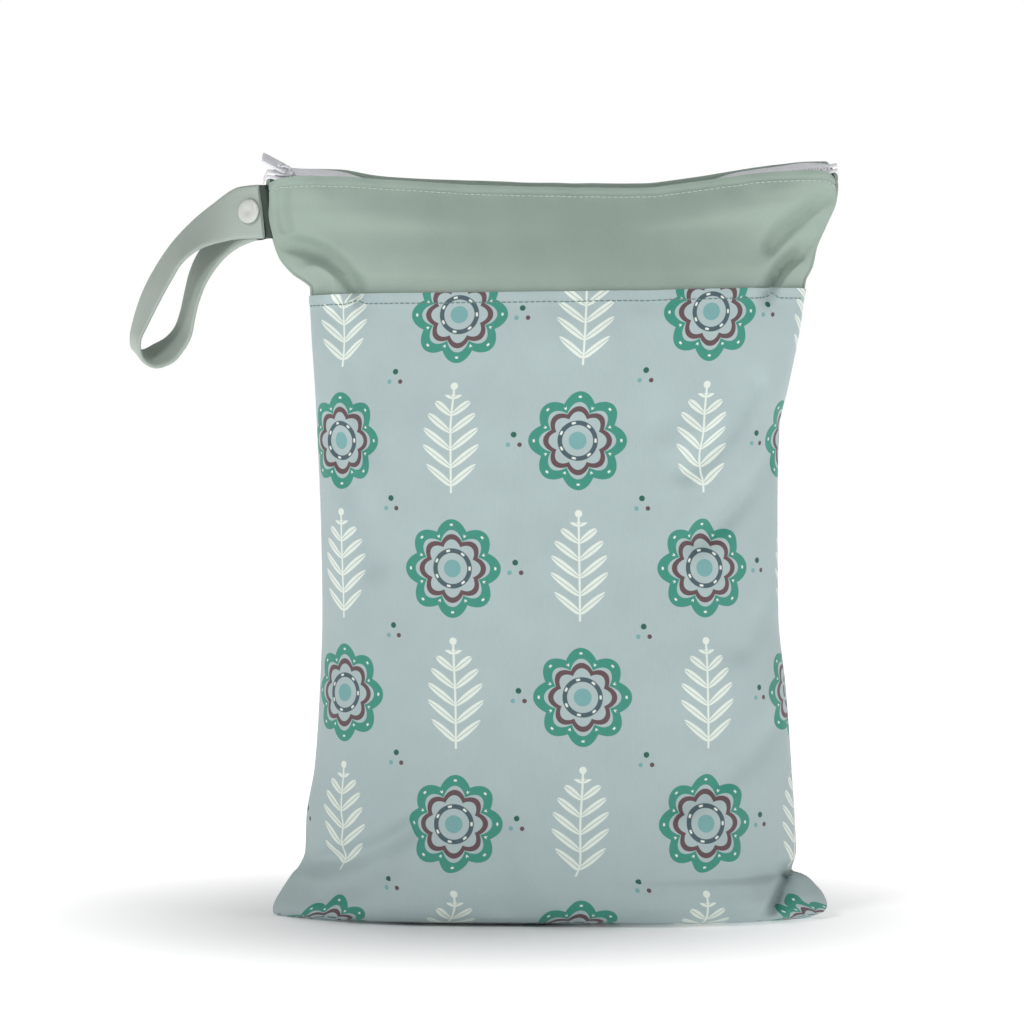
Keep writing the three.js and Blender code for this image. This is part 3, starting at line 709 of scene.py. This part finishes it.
def flower_layers(x, y):
    """A round flower: a scalloped rim and ring, a beaded ring and a middle."""
    radius = distance(x, y)
    angle = y.angle_to(x)
    scallop = (angle * (PETALS / 2)).cosine().absolute()
    rim = scallop * PETAL_BULGE + FLOWER_RADIUS
    petal = radius.below(rim) * radius.above(rim - PETAL_BAND)
    mauve = ring(radius, *(scallop * INNER_BULGE + at for at in INNER_BAND))
    slate = ring(radius, *SLATE_BAND)
    bead = (angle * 7.0).cosine().above(0.72, 0.3) * ring(radius, *BEAD_BAND)
    middle = radius.below(MIDDLE_RADIUS)
    rim_dots = (angle * (2.0 * PETALS)).cosine().above(0.86, 0.2)
    rim_bead = rim_dots * ring(radius, *(rim - at for at in RIM_BEAD_BAND))
    return (
        (petal, TEAL),
        (mauve, MAUVE),
        (slate, SLATE),
        (middle, MIST),
        (bead, CREAM),
        (rim_bead, CREAM),
    )


def sprig_layers(x, y, colour):
    """An upright stem with pairs of leaves that grow shorter to both ends."""
    side = x.absolute()
    reach = ((y * y) * (-1 / SPRIG_HALF ** 2) + 1.0).root() * SPRIG_REACH
    along = (y - side * LEAF_SLOPE).wrap(LEAF_PITCH) - LEAF_PITCH / 2
    share = side / (reach + 0.01)
    width = share * -1.0 + 1.0
    leaf = (width * share * 4.0).root() * LEAF_HALF
    leaves = along.absolute().below(leaf) * side.below(reach) * y.absolute().below(LEAF_LIMIT)
    vein = along.absolute().above(VEIN_HALF)
    stem = side.below(STEM_HALF) * y.absolute().below(STEM_LIMIT)
    bud = distance(x, y - BUD_AT).below(BUD_RADIUS)
    return ((leaves * vein, colour), (stem, colour), (bud, colour))


def seed_layers(across, up):
    """Small dots in threes between the big motifs."""
    x, y = cell_place(across, up, *SEED_SHIFT, ROW_PITCH / 2)
    layers = []
    for row in SEEDS:
        seed = dict(zip(SEED_COLUMNS, row))
        away = distance(x - seed["x"], y - seed["y"])
        layers.append((away.below(seed["radius"]), seed["colour"]))
    return layers


def print_material():
    material, tree, shader = new_material("printed_knit", sheen=0.12)
    uv, across, up = cloth_place(tree)
    shift_x, shift_y = PRINT_SHIFT
    flower_at = cell_place(across, up, shift_x, shift_y)
    sprig_at = cell_place(across, up, shift_x, shift_y + ROW_PITCH / 2)
    colour = GROUND
    layers = [
        *sprig_layers(*sprig_at, CREAM),
        *flower_layers(*flower_at),
        *seed_layers(across, up),
    ]
    for mask, tint in layers:
        colour = mix_colour(tree, mask, colour, tint)
    knit_finish(tree, shader, uv, across, up, colour)
    return material


def tape_material():
    material, tree, shader = new_material("woven_tape", 0.62, sheen=0.1)
    uv, across, up = cloth_place(tree)
    weft = ((across * (math.tau / WEFT_PITCH)).sine() + 1.0) * 0.5
    warp = ((up * (math.tau / WARP_PITCH)).sine() + 1.0) * 0.5
    patch = noise(tree, uv, 0.2)
    colour = mix_colour(tree, patch * 0.6 + weft * 0.2, WHITE, TAPE_SHADE)
    tree.links.new(colour, shader.inputs["Base Color"])
    add_bump(tree, shader, weft * warp, 0.5, 0.15 * MM)
    return material


def moulded_material(name, colour, roughness, coat=0.0):
    """Smooth plastic or enamel with faint clouds and specks in its sheen."""
    material, tree, shader = new_material(name, roughness, coat=coat)
    place = tree.nodes.new("ShaderNodeTexCoord")
    speck = noise(tree, place.outputs["Object"], 900.0, 2.0)
    cloud = noise(tree, place.outputs["Object"], 120.0)
    worn = tuple(c * WORN_SHARE for c in colour)
    tree.links.new(mix_colour(tree, cloud, colour, worn), shader.inputs["Base Color"])
    rough = cloud * 0.14 + speck * 0.05 + (roughness - 0.09)
    tree.links.new(rough.socket, shader.inputs["Roughness"])
    add_bump(tree, shader, speck + cloud, 0.12, 0.05 * MM)
    return material


shell_knit = knit_material("sage_knit", SAGE)
# The strap's knit has painted shade near the side seam
strap_knit = knit_material("strap_knit", SAGE_STRAP, STRAP_PAINTED_SHADE_FROM)
printed_knit = print_material()
tape_weave = tape_material()
coil_nylon = moulded_material("coil_nylon", WHITE, 0.45)
head_enamel = moulded_material("head_enamel", linear(226, 227, 232), 0.32, coat=0.3)
snap_plastic = moulded_material("snap_plastic", linear(206, 208, 203), 0.3, coat=0.15)
pale_thread = moulded_material("pale_thread", linear(188, 201, 191), 0.6)
dark_thread = moulded_material("dark_thread", linear(112, 140, 134), 0.6)


# Shell and pocket
def puckers(points, height, line, seed):
    """Small uneven ripples near a stitched line at a share of the bag's height."""
    away = (height - line) * BAG_HEIGHT
    waves = ripple(points[..., 0] / PUCKER_WAVE, away / PUCKER_FALL, seed)
    return PUCKER_SIZE * np.exp(-(away / PUCKER_REACH) ** 2) * waves


def turned_edge(below, thickness, step, spread):
    """A band a layer thicker down to the stitches, with a groove along them."""
    band = thickness * smoothstep(-below, -SEAM_ALLOWANCE - step, -SEAM_ALLOWANCE)
    groove = STITCH_GROOVE * np.exp(-((below - SEAM_ALLOWANCE) / spread) ** 2)
    return band - groove


def hem_raise(points, height):
    """The turned hem is a layer thicker, with a groove where it is stitched."""
    below = (HEM - height) * BAG_HEIGHT
    turned = turned_edge(below, 0.5, 0.8, 0.7)
    return turned + puckers(points, height, HEM - SEAM_ALLOWANCE / BAG_HEIGHT, 5)


def lip_raise(points, height):
    """The lip is turned over the tape and stitched below its edge."""
    below = (1 - height) * BAG_HEIGHT
    turned = turned_edge(below, 0.35, 1.0, 0.8)
    return turned + puckers(points, height, 1 - SEAM_ALLOWANCE / BAG_HEIGHT, 6)


def make_shell():
    """The back, the front and the pocket over it. Returns their outer grids."""
    back_outer = layer("back", 0, lip_raise)
    back_inner = layer("back", SHELL_WALL)
    back = wall_between("shell_back", back_outer, back_inner, True)
    finish_piece(back, BAG, "shell_fabric", shell_knit, "back_panel")
    front_outer = layer("front", POCKET_WALL + CLEARANCE, lip_raise)
    front_inner = layer("front", FRONT_STACK)
    front = wall_between("shell_front", front_outer, front_inner, False)
    finish_piece(front, BAG, "shell_fabric", shell_knit, "front_panel")
    pocket_outer = layer("front", 0, hem_raise)[:HEM_RING + 1]
    pocket_inner = layer("front", POCKET_WALL)[:HEM_RING + 1]
    pocket = wall_between("pocket_print", pocket_outer, pocket_inner, False)
    finish_piece(pocket, BAG, "pocket_fabric", printed_knit, "pocket_panel")
    return front_outer, back_outer, pocket_outer


front_skin, back_skin, pocket_skin = make_shell()


# Stitches
TIP_TURN = 0.12
TIP_RINGS = 3


def capsule_shape(length, radius, sides):
    """A rod with round ends along x, as points and faces."""
    rings = []
    half = length / 2 - radius
    for end in (-1, 1):
        turns = np.linspace(TIP_TURN, math.pi / 2, TIP_RINGS)
        for turn in turns if end < 0 else turns[::-1]:
            rings.append((end * (half + radius * math.cos(turn)), radius * math.sin(turn)))
    around = np.arange(sides) * math.tau / sides
    points = np.array([[x, r * math.cos(a), r * math.sin(a)] for x, r in rings for a in around])
    faces = []
    for i in range(len(rings) - 1):
        for j in range(sides):
            k = (j + 1) % sides
            faces.append([i * sides + j, (i + 1) * sides + j, (i + 1) * sides + k, i * sides + k])
    faces.append(list(range(sides)))
    last = (len(rings) - 1) * sides
    faces.append([last + sides - 1 - j for j in range(sides)])
    return points, faces


def scatter(name, shape, places):
    """One mesh of many copies of a shape, each at its own middle and three directions."""
    points, faces = shape
    vertices, cells = [], []
    for count, (middle, x_way, y_way, z_way) in enumerate(places):
        turn = np.array([x_way, y_way, z_way])
        vertices.append(points @ turn + middle)
        start = count * len(points)
        cells.extend([[start + i for i in face] for face in faces])
    return new_object(name, np.concatenate(vertices), cells, smooth=60)


def line_below(grid, drop):
    """The line on a grid that lies this far below its top row, and the way up there."""
    down = grid[::-1][:UPPER_STEPS]
    travel = np.concatenate([
        np.zeros((1, grid.shape[1])),
        np.cumsum(np.linalg.norm(np.diff(down, axis=0), axis=-1), axis=0),
    ])
    points, ups = [], []
    for column in range(grid.shape[1]):
        i = int(np.searchsorted(travel[:, column], drop)) - 1
        share = (drop - travel[i, column]) / (travel[i + 1, column] - travel[i, column])
        points.append(down[i, column] * (1 - share) + down[i + 1, column] * share)
        ups.append(unit(down[i, column] - down[i + 1, column]))
    return np.array(points), np.array(ups)


def point_along(at, travel, line):
    return np.array([np.interp(at, travel, line[:, k]) for k in range(3)])


def stitch_row(name, grid, out, slot, thread):
    """A row of single stitches along a seam, each a little out of true."""
    line, ups = line_below(grid, SEAM_ALLOWANCE)
    travel = np.concatenate([[0], np.cumsum(np.linalg.norm(np.diff(line, axis=0), axis=-1))])
    draw = np.random.default_rng(len(name))
    places = []
    for at in np.arange(STITCH_TRIM, travel[-1] - STITCH_TRIM, STITCH_PITCH):
        at += draw.uniform(-STITCH_SLIP, STITCH_SLIP)
        middle = point_along(at, travel, line)
        ahead = point_along(at + STITCH_AHEAD, travel, line)
        up = point_along(at, travel, ups)
        along = unit(ahead - middle)
        face = unit(np.cross(along, up))
        face = face if face[1] * out > 0 else -face
        along = unit(along + up * draw.uniform(-STITCH_SLANT, STITCH_SLANT))
        places.append((middle + face * STITCH_LIFT, along, np.cross(face, along), face))
    shape = capsule_shape(STITCH_LENGTH, STITCH_RADIUS, 6)
    finish_piece(scatter(name, shape, places), BAG, slot, thread)


stitch_row("stitches_front_lip", front_skin, -1, "shell_fabric", pale_thread)
stitch_row("stitches_back_lip", back_skin, 1, "shell_fabric", pale_thread)
stitch_row("stitches_hem", pocket_skin, -1, "pocket_fabric", dark_thread)


# Zipper
COIL_GAP = COIL_WIDTH / 2 + CLEARANCE
COIL_TOP = (COIL_HEIGHT - TAPE_THICKNESS) / 2
TOOTH_PITCH = 1.6
TOOTH_SLANT = 0.24
TOOTH_SHIFT = 0.1
TOOTH_SINK = -0.5
TOOTH_RADIUS = 0.72
TOOTH_STRETCH = (1, 0.95, 1.25)
TAPE_CROWN = 0.18
TAPE_STOPS = (0.04, 0.2, 0.4, 0.6, 0.8, 0.93)
THREAD_SPAN = 1.3


def zip_share(travel):
    """The share of the half width at which x lies this far from the zipper's middle."""
    return (travel - zip_centre(0)[0]) / (BAG_WIDTH / 2)


def zip_centre(across):
    """The zipper's middle line, which drops and tucks in past the ends of the mouth."""
    inner = min(1.0, max(-1.0, across))
    past = (abs(across) - abs(inner)) / TAPE_END_TURN
    left, right = SECTIONS[-1][1], SECTIONS[-1][2]
    x = BAG_WIDTH * (left + (right - left) * (inner + 1) / 2)
    lift = BAG_HEIGHT - MOUTH_SAG * float(mouth_at["zipper"](inner))
    end = past * (TAPE_RIGHT_REACH if across > 0 else -TAPE_END_REACH)
    return np.array([x + end, seam_depth(x), lift - past * TAPE_END_DROP])


def zip_lean(across):
    return math.tan(math.radians(float(mouth_at["roll"](min(1.0, max(-1.0, across))))))


def mouth_half(across):
    s = min(1.0, abs(across))
    row = dict(zip(SECTION_COLUMNS, SECTIONS[-1]))
    return BAG_DEPTH * row["front"] * (1 - s ** row["power"]) ** row["taper"]


def zip_points(across, outline):
    centre, lean = zip_centre(across), zip_lean(across)
    return [centre + np.array([0, a, b + a * lean]) for a, b in outline]


def tape_outline(across, out):
    """Section of one tape: a flat top, a round shoulder and a flange inside the lip."""
    reach = max(COIL_GAP + TAPE_END_WIDTH, mouth_half(across) - CLEARANCE)
    fade = min(1.0, max(0.0, (FLANGE_END - abs(across)) / FLANGE_FADE))
    foot = TAPE_THICKNESS + TAPE_FLANGE * fade
    rim = reach - TAPE_THICKNESS
    width = reach - COIL_GAP
    top = [(COIL_GAP + width * t, TAPE_CROWN * math.sin(math.pi * t)) for t in TAPE_STOPS]
    bend = [(reach - 0.12, -0.05), (reach, -0.25), (reach, -foot)]
    under = [(rim, -foot), (rim, -TAPE_THICKNESS), (COIL_GAP, -TAPE_THICKNESS), (COIL_GAP, -0.2)]
    outline = [(out * a, b) for a, b in top + bend + under]
    return outline if out < 0 else outline[::-1]


def make_tape(name, out, node):
    shares = np.linspace(-1 - TAPE_END_TURN, 1 + TAPE_END_TURN, ZIP_STEPS + 1)
    rings = np.array([zip_points(s, tape_outline(s, out)) for s in shares])
    count = rings.shape[1]
    around = np.broadcast_to(np.arange(count) * THREAD_SPAN, rings.shape[:2])
    uv = np.stack([rings[..., 0], around], -1).reshape(-1, 2)
    finish_piece(loft(name, rings, uv, 40), BAG, "zip_tape", tape_weave, node)


def make_coil():
    start = zip_share(SLIDER_AT - SLIDER_LENGTH / 4)
    length = (COIL_END - start) * BAG_WIDTH / 2
    places = []
    for i in range(int(length / TOOTH_PITCH)):
        across = start + (COIL_END - start) * (i + 0.5) * TOOTH_PITCH / length
        side = 1 if i % 2 else -1
        lean = math.atan(zip_lean(across))
        width_way = unit(np.array([TOOTH_SLANT * side, math.cos(lean), math.sin(lean)]))
        up_way = np.array([0, -math.sin(lean), math.cos(lean)])
        middle = zip_centre(across) + up_way * TOOTH_SINK
        long_way = np.cross(width_way, up_way)
        places.append((middle + width_way * TOOTH_SHIFT * side, width_way, long_way, up_way))
    points, faces = capsule_shape(COIL_WIDTH, TOOTH_RADIUS, 8)
    points = points * np.array(TOOTH_STRETCH)
    coil = scatter("coil_teeth", (points, faces), places)
    finish_piece(coil, BAG, "zip_coil", coil_nylon, "zip_coil")


make_tape("tape_front", -1, "zip_tape_front")
make_tape("tape_back", 1, "zip_tape_back")
make_coil()


# Slider and pull
SLIDER_SHARES = ((-1, 0.72), (-0.7, 0.95), (-0.2, 1), (0.55, 0.8), (1, 0.62))
POST_SINK = 0.4
ARCH_ROUND = 1.2
ARCH_STEPS = 8
ARCH_SIDES = 12
ARCH_POWER = 0.6
RIBS_AT = (-11.6, -10.2, -8.8, -7.4)
RIB_HALF = 0.3
RIB_REACH = 2.4
RIB_HEIGHT = 0.22
HEAD_BEVEL = 0.28
PULL_BEVEL = 0.25
RIB_BEVEL = 0.12


def plate_mesh(builder, outline, low, high, hole=None):
    """Adds an upright plate with the given outline in x and y to a bmesh."""
    def ring_pair(points):
        return [[builder.verts.new((x, y, level)) for x, y in points] for level in (low, high)]

    bottom, top = ring_pair(outline)
    count = len(outline)
    for i in range(count):
        j = (i + 1) % count
        builder.faces.new((bottom[i], bottom[j], top[j], top[i]))
    if hole is None:
        builder.faces.new(bottom[::-1])
        builder.faces.new(top)
        return
    below, above = ring_pair(hole)
    for i in range(count):
        j = (i + 1) % count
        builder.faces.new((below[j], below[i], above[i], above[j]))
        builder.faces.new((top[i], top[j], above[j], above[i]))
        builder.faces.new((bottom[j], bottom[i], below[i], below[j]))


def head_object(name, fill, place, bevel, segments=3):
    """A moulded piece built in the slider's own frame, with all its edges rounded."""
    builder = bmesh.new()
    fill(builder)
    bmesh.ops.recalc_face_normals(builder, faces=builder.faces)
    sharp = [edge for edge in builder.edges if edge.calc_face_angle(0) > math.radians(35)]
    bmesh.ops.bevel(
        builder,
        geom=sharp,
        offset=bevel,
        segments=segments,
        profile=0.6,
        affect="EDGES",
        clamp_overlap=True,
    )
    for vertex in builder.verts:
        vertex.co = place @ vertex.co
    vertices = [tuple(vertex.co) for vertex in builder.verts]
    builder.verts.index_update()
    faces = [[vertex.index for vertex in face.verts] for face in builder.faces]
    builder.free()
    return new_object(name, vertices, faces, smooth=40)


def box_outline(x0, x1, y0, y1):
    return [(x0, y0), (x1, y0), (x1, y1), (x0, y1)]


def rounded_outline(x0, x1, y0, y1, radius, steps=5):
    corners = (
        (x1 - radius, y0 + radius, -90),
        (x1 - radius, y1 - radius, 0),
        (x0 + radius, y1 - radius, 90),
        (x0 + radius, y0 + radius, 180),
    )
    points = []
    for cx, cy, start in corners:
        for i in range(steps + 1):
            turn = math.radians(start + 90 * i / steps)
            points.append((cx + radius * math.cos(turn), cy + radius * math.sin(turn)))
    return points


def slider_fill(builder):
    """The slider's upper and lower plates and the post between them."""
    half = SLIDER_LENGTH / 2
    low = COIL_TOP + 2 * CLEARANCE
    foot = -COIL_TOP - TAPE_THICKNESS - CLEARANCE
    width = SLIDER_WIDTH / 2
    near_side = [(half * x, -width * y) for x, y in SLIDER_SHARES]
    far_side = [(half * x, width * y) for x, y in reversed(SLIDER_SHARES)]
    plate_mesh(builder, near_side + far_side, low, low + SLIDER_PLATE)
    lower = box_outline(-half, half * 0.6, -width / 2, width / 2)
    plate_mesh(builder, lower, foot - SLIDER_PLATE, foot)
    post = COIL_GAP - 2 * CLEARANCE
    post_outline = box_outline(-half, -half + SLIDER_PLATE, -post, post)
    plate_mesh(builder, post_outline, foot - POST_SINK, low + POST_SINK)


def blunt(value):
    """Squares off a circle's sine or cosine, so that a round section turns blunt."""
    return math.copysign(abs(value) ** ARCH_POWER, value)


def bridge_rings(low, high):
    """The bridge over the pull's bar, as rings along an arch with square shoulders."""
    reach = (BRIDGE_SPAN + BRIDGE_BAR) / 2
    spring = high - ARCH_ROUND
    path = [(-reach, low), (-reach, spring)]
    for i in range(ARCH_STEPS + 1):
        turn = math.pi * i / ARCH_STEPS
        path.append((-reach * math.cos(turn), spring + ARCH_ROUND * math.sin(turn)))
    path += [(reach, spring), (reach, low)]
    rings = []
    for i, (x, z) in enumerate(path):
        before, after = path[max(0, i - 1)], path[min(len(path) - 1, i + 1)]
        way = unit(np.array([after[0] - before[0], 0, after[1] - before[1]]))
        out = np.array([-way[2], 0, way[0]])
        ring = []
        for j in range(ARCH_SIDES):
            turn = math.tau * j / ARCH_SIDES
            across = blunt(math.cos(turn)) * BRIDGE_WIDTH / 2
            deep = blunt(math.sin(turn)) * BRIDGE_BAR / 2
            ring.append(np.array([x, 0, z]) + out * deep + np.array([0, across, 0]))
        rings.append(ring)
    return np.array(rings)


def make_head():
    across = zip_share(SLIDER_AT)
    centre, ahead = zip_centre(across), zip_centre(across + 0.02)
    climb = -math.atan2(ahead[2] - centre[2], ahead[0] - centre[0])
    place = (
        Matrix.Translation(Vector(centre))
        @ Matrix.Rotation(math.atan(zip_lean(across)), 4, "X")
        @ Matrix.Rotation(climb, 4, "Y")
    )
    top = COIL_TOP + 2 * CLEARANCE + SLIDER_PLATE
    slider = head_object("slider_body", slider_fill, place, HEAD_BEVEL)
    finish_piece(slider, BAG, "zip_head", head_enamel, "zip_slider")
    arch = bridge_rings(top - SLIDER_PLATE / 2, top + BRIDGE_CLEAR + BRIDGE_BAR / 2)
    arch = np.array([[tuple(place @ Vector(p)) for p in ring] for ring in arch])
    finish_piece(loft("slider_bridge", arch, smooth=60), BAG, "zip_head", head_enamel)

    bar = PULL_THICKNESS / 2
    gap = BRIDGE_WIDTH / 2 + 2 * CLEARANCE
    lifted = Matrix.Translation((0, 0, top + BRIDGE_CLEAR / 2))
    hinge = place @ lifted @ Matrix.Rotation(PULL_LIFT, 4, "Y")

    def pull_fill(builder):
        outline = rounded_outline(-PULL_LENGTH, bar, -PULL_WIDTH / 2, PULL_WIDTH / 2, 1.0)
        window = rounded_outline(-PULL_WINDOW, -bar, -gap, gap, 0.5)
        plate_mesh(builder, outline, -bar, bar, window)

    def rib_fill(builder):
        for x in RIBS_AT:
            outline = box_outline(x - RIB_HALF, x + RIB_HALF, -RIB_REACH, RIB_REACH)
            plate_mesh(builder, outline, bar - 0.1, bar + RIB_HEIGHT)

    pull = head_object("pull_tab_plate", pull_fill, hinge, PULL_BEVEL)
    finish_piece(pull, PULL, "zip_head", head_enamel, "zip_pull")
    ribs = head_object("pull_tab_ribs", rib_fill, hinge, RIB_BEVEL, 2)
    finish_piece(ribs, PULL, "zip_head", head_enamel)


make_head()


# Strap
FRAME_STEP = 0.002
STRAP_STOPS = (0.25, 0.5, 0.7, 0.76, 0.8, 0.86, 0.93, 1)
STRAP_EDGE_POWER = 14
STRAP_EDGE_LEAST = 0.12
WOBBLE_SIZE = 0.22
WOBBLE_LENGTH = 7
WOBBLE_SEED = 31
TUCK_SLOPE = -0.2


def strap_edges(share):
    """Points of the two edge curves, which pass smoothly through the stations."""
    seam = -BAG_WIDTH / 2
    near, far = [], []
    for row in STRAP_STATIONS:
        station = dict(zip(STRAP_COLUMNS, row))
        near_x = seam - station["near_reach"] * STRAP_REACH
        near_z = STRAP_TOP - station["near_drop"] * STRAP_DROP
        far_x = seam - station["far_reach"] * STRAP_REACH
        far_z = STRAP_TOP - station["far_drop"] * STRAP_DROP
        seen = math.hypot(far_x - near_x, far_z - near_z)
        deep = math.sqrt(max(0.0, STRAP_WIDTH ** 2 - seen ** 2)) / 2
        y = seam_depth(seam) + station["depth"] * STRAP_WIDTH
        near.append((near_x, y - deep, near_z))
        far.append((far_x, y + deep, far_z))
    return chord_curve(np.array(near), share), chord_curve(np.array(far), share)


def chord_curve(points, share):
    """A centripetal curve through points, each station the same share of it."""
    share = np.clip(share, 0, 1)
    last = len(points) - 1
    at = share * last
    i = np.minimum(at.astype(int), last - 1)
    w = (at - i)[..., None]
    before, after = 2 * points[0] - points[1], 2 * points[-1] - points[-2]
    padded = np.concatenate([[before], points, [after]])
    p0, p1, p2, p3 = (padded[i + step] for step in range(4))
    pairs = ((p0, p1), (p1, p2), (p2, p3))
    d0, d1, d2 = (np.sqrt(np.linalg.norm(b - a, axis=-1, keepdims=True)) for a, b in pairs)
    t1 = ((p1 - p0) / d0 - (p2 - p0) / (d0 + d1) + (p2 - p1) / d1) * d1
    t2 = ((p2 - p1) / d1 - (p3 - p1) / (d1 + d2) + (p3 - p2) / d2) * d1
    c2 = -3 * p1 + 3 * p2 - 2 * t1 - t2
    c3 = 2 * p1 - 2 * p2 + t1 + t2
    return p1 + t1 * w + c2 * w ** 2 + c3 * w ** 3


def strap_middle(share):
    return sum(strap_edges(share)) / 2


def strap_frame(share):
    """The band's middle points, its way across and its outward way at shares of its length."""
    near, far = strap_edges(share)
    along = unit(strap_middle(share + FRAME_STEP) - strap_middle(share - FRAME_STEP))
    wide = unit(far - near)
    return (near + far) / 2, wide, unit(np.cross(along, wide))


def make_strap():
    """The band, with soft edges, faint waves and an end tucked into the side seam."""
    middle, wide, face = strap_frame(np.linspace(0, 1, STRAP_STEPS + 1))
    steps = np.linalg.norm(np.diff(middle, axis=0), axis=-1)
    travel = np.concatenate([[0], np.cumsum(steps)])
    stops = [-t for t in reversed(STRAP_STOPS)] + [0, *STRAP_STOPS]
    lift = [max(STRAP_EDGE_LEAST, (1 - abs(t) ** STRAP_EDGE_POWER) ** 0.5) for t in stops]
    half, thick = STRAP_WIDTH / 2, STRAP_THICKNESS / 2
    lower = [(t * half, -thick * edge) for t, edge in zip(stops, lift)]
    upper = [(t * half, thick * edge) for t, edge in zip(stops, lift)]
    outline = lower + upper[::-1]
    across = np.array([a for a, _ in outline])
    ways = zip(middle, wide, face)
    grid = np.array([[m + w * a + f * b for a, b in outline] for m, w, f in ways])
    waves = ripple(travel[:, None] / WOBBLE_LENGTH, across[None, :] / WOBBLE_LENGTH, WOBBLE_SEED)
    grid += face[:, None, :] * (WOBBLE_SIZE * waves)[..., None]
    tuck = [grid[-1] + np.array([STRAP_TUCK * k / 2, TUCK_SLOPE * k, 0.0]) for k in (1, 2)]
    grid = np.concatenate([grid, np.array(tuck)])
    travel = np.concatenate([travel, travel[-1] + STRAP_TUCK * np.array([0.5, 1.0])])
    uv = np.stack(np.broadcast_arrays(across[None, :], travel[:, None]), -1).reshape(-1, 2)
    finish_piece(loft("strap_band", grid, uv, 60), BAG, "strap_fabric", strap_knit, "strap")


# Section of a snap's disc: shares of its radius and of its thickness, from the cloth to the dimple
SNAP_PROFILE = (
    (0.2, 0), (0.9, 0), (0.97, 0.1), (1, 0.35), (0.98, 0.55), (0.93, 0.74), (0.84, 0.88),
    (0.7, 0.97), (0.52, 1), (0.36, 0.97), (0.24, 0.88), (0.12, 0.8), (0.03, 0.78),
)


def make_snap(name, share, node):
    """A round moulded disc on one face of the band, with a soft rim and a small dimple."""
    middle, wide, face = (ways[0] for ways in strap_frame(np.array([share])))
    face = -face
    third = np.cross(face, wide)
    seat = STRAP_THICKNESS / 2 + SNAP_SEAT
    turns = np.arange(ROUND_SIDES) * math.tau / ROUND_SIDES
    rings = []
    for reach, lift in SNAP_PROFILE:
        radius = reach * SNAP_DIAMETER / 2
        level = middle + face * (seat + lift * SNAP_THICKNESS)
        ring = [level + (wide * math.cos(t) + third * math.sin(t)) * radius for t in turns]
        rings.append(ring)
    finish_piece(loft(name, np.array(rings)), BAG, "snap_plastic", snap_plastic, node)


make_strap()
make_snap("snap_dome", SNAP_FRONT, "snap_cap")
make_snap("snap_socket", SNAP_BEHIND, "snap_back")


# Camera, lights and floor
def area_light(name, place, size, watts):
    lamp = bpy.data.lights.new(name, "AREA")
    lamp.shape = "DISK"
    lamp.size = size
    lamp.energy = watts
    thing = bpy.data.objects.new(name, lamp)
    thing.location = place
    aim = Vector(LIGHT_AIM) - Vector(place)
    thing.rotation_euler = aim.to_track_quat("-Z", "Y").to_euler()
    bpy.context.scene.collection.objects.link(thing)
    return thing


def make_floor():
    """A sheet of white paper that glows with painted light, not at all near the bag so that its
    shadow shows, and more further off.
    """
    half = FLOOR_SIZE / 2
    corners = [(-half, -half, 0), (half, -half, 0), (half, half, 0), (-half, half, 0)]
    mesh = bpy.data.meshes.new("paper")
    mesh.from_pydata(corners, [], [(0, 1, 2, 3)])
    material, tree, shader = new_material("paper_white_glowing", 0.9)
    place = tree.nodes.new("ShaderNodeTexCoord")
    cloud = noise(tree, place.outputs["Object"], 3.0)
    colour = mix_colour(tree, cloud, linear(251, 251, 251), linear(249, 249, 250))
    tree.links.new(colour, shader.inputs["Base Color"])
    shader.inputs["Emission Color"].default_value = (1.0, 1.0, 1.0, 1.0)
    x, y, _ = split(tree, place.outputs["Object"])
    # Painted light: the floor's glow grows with distance from the bag
    glow = ((distance(x, y) - PAPER_DARK) / PAPER_FADE).clamped() * PAPER_GLOW
    tree.links.new(glow.socket, shader.inputs["Emission Strength"])
    mesh.materials.append(material)
    return bpy.data.objects.new("paper", mesh)


def make_stage():
    """The camera, the floor and lights, and a sky that is white only near the horizon."""
    scene = bpy.context.scene
    lens = bpy.data.cameras.new("camera")
    lens.sensor_width = SENSOR
    lens.lens = SENSOR * CAMERA_DISTANCE / FRAME_WIDTH
    camera = bpy.data.objects.new("camera", lens)
    away = Vector((0, -math.cos(CAMERA_RISE), math.sin(CAMERA_RISE)))
    camera.location = FRAME_CENTRE + away * CAMERA_DISTANCE
    camera.rotation_euler = (-away).to_track_quat("-Z", "Y").to_euler()
    scene.collection.objects.link(camera)
    scene.camera = camera
    floor = make_floor()
    scene.collection.objects.link(floor)
    key = area_light("key", (-1.0, -1.6, 1.5), 0.6, KEY_WATTS)
    fill = area_light("fill", (1.7, -1.0, 0.8), 0.9, FILL_WATTS)
    top = area_light("top", (0.1, 0.4, 1.8), 1.2, TOP_WATTS)
    world = scene.world or bpy.data.worlds.new("world")
    scene.world = world
    world.use_nodes = True
    tree = world.node_tree
    back = tree.nodes["Background"]
    back.inputs["Color"].default_value = (1.0, 1.0, 1.0, 1.0)
    place = tree.nodes.new("ShaderNodeTexCoord")
    height = split(tree, place.outputs["Generated"])[2]
    band = height.absolute().below(WORLD_BAND, WORLD_EDGE)
    strength = band * (1.0 - WORLD_LOW) + WORLD_LOW
    tree.links.new(strength.socket, back.inputs["Strength"])
    scene.view_settings.view_transform = "Standard"


make_stage()
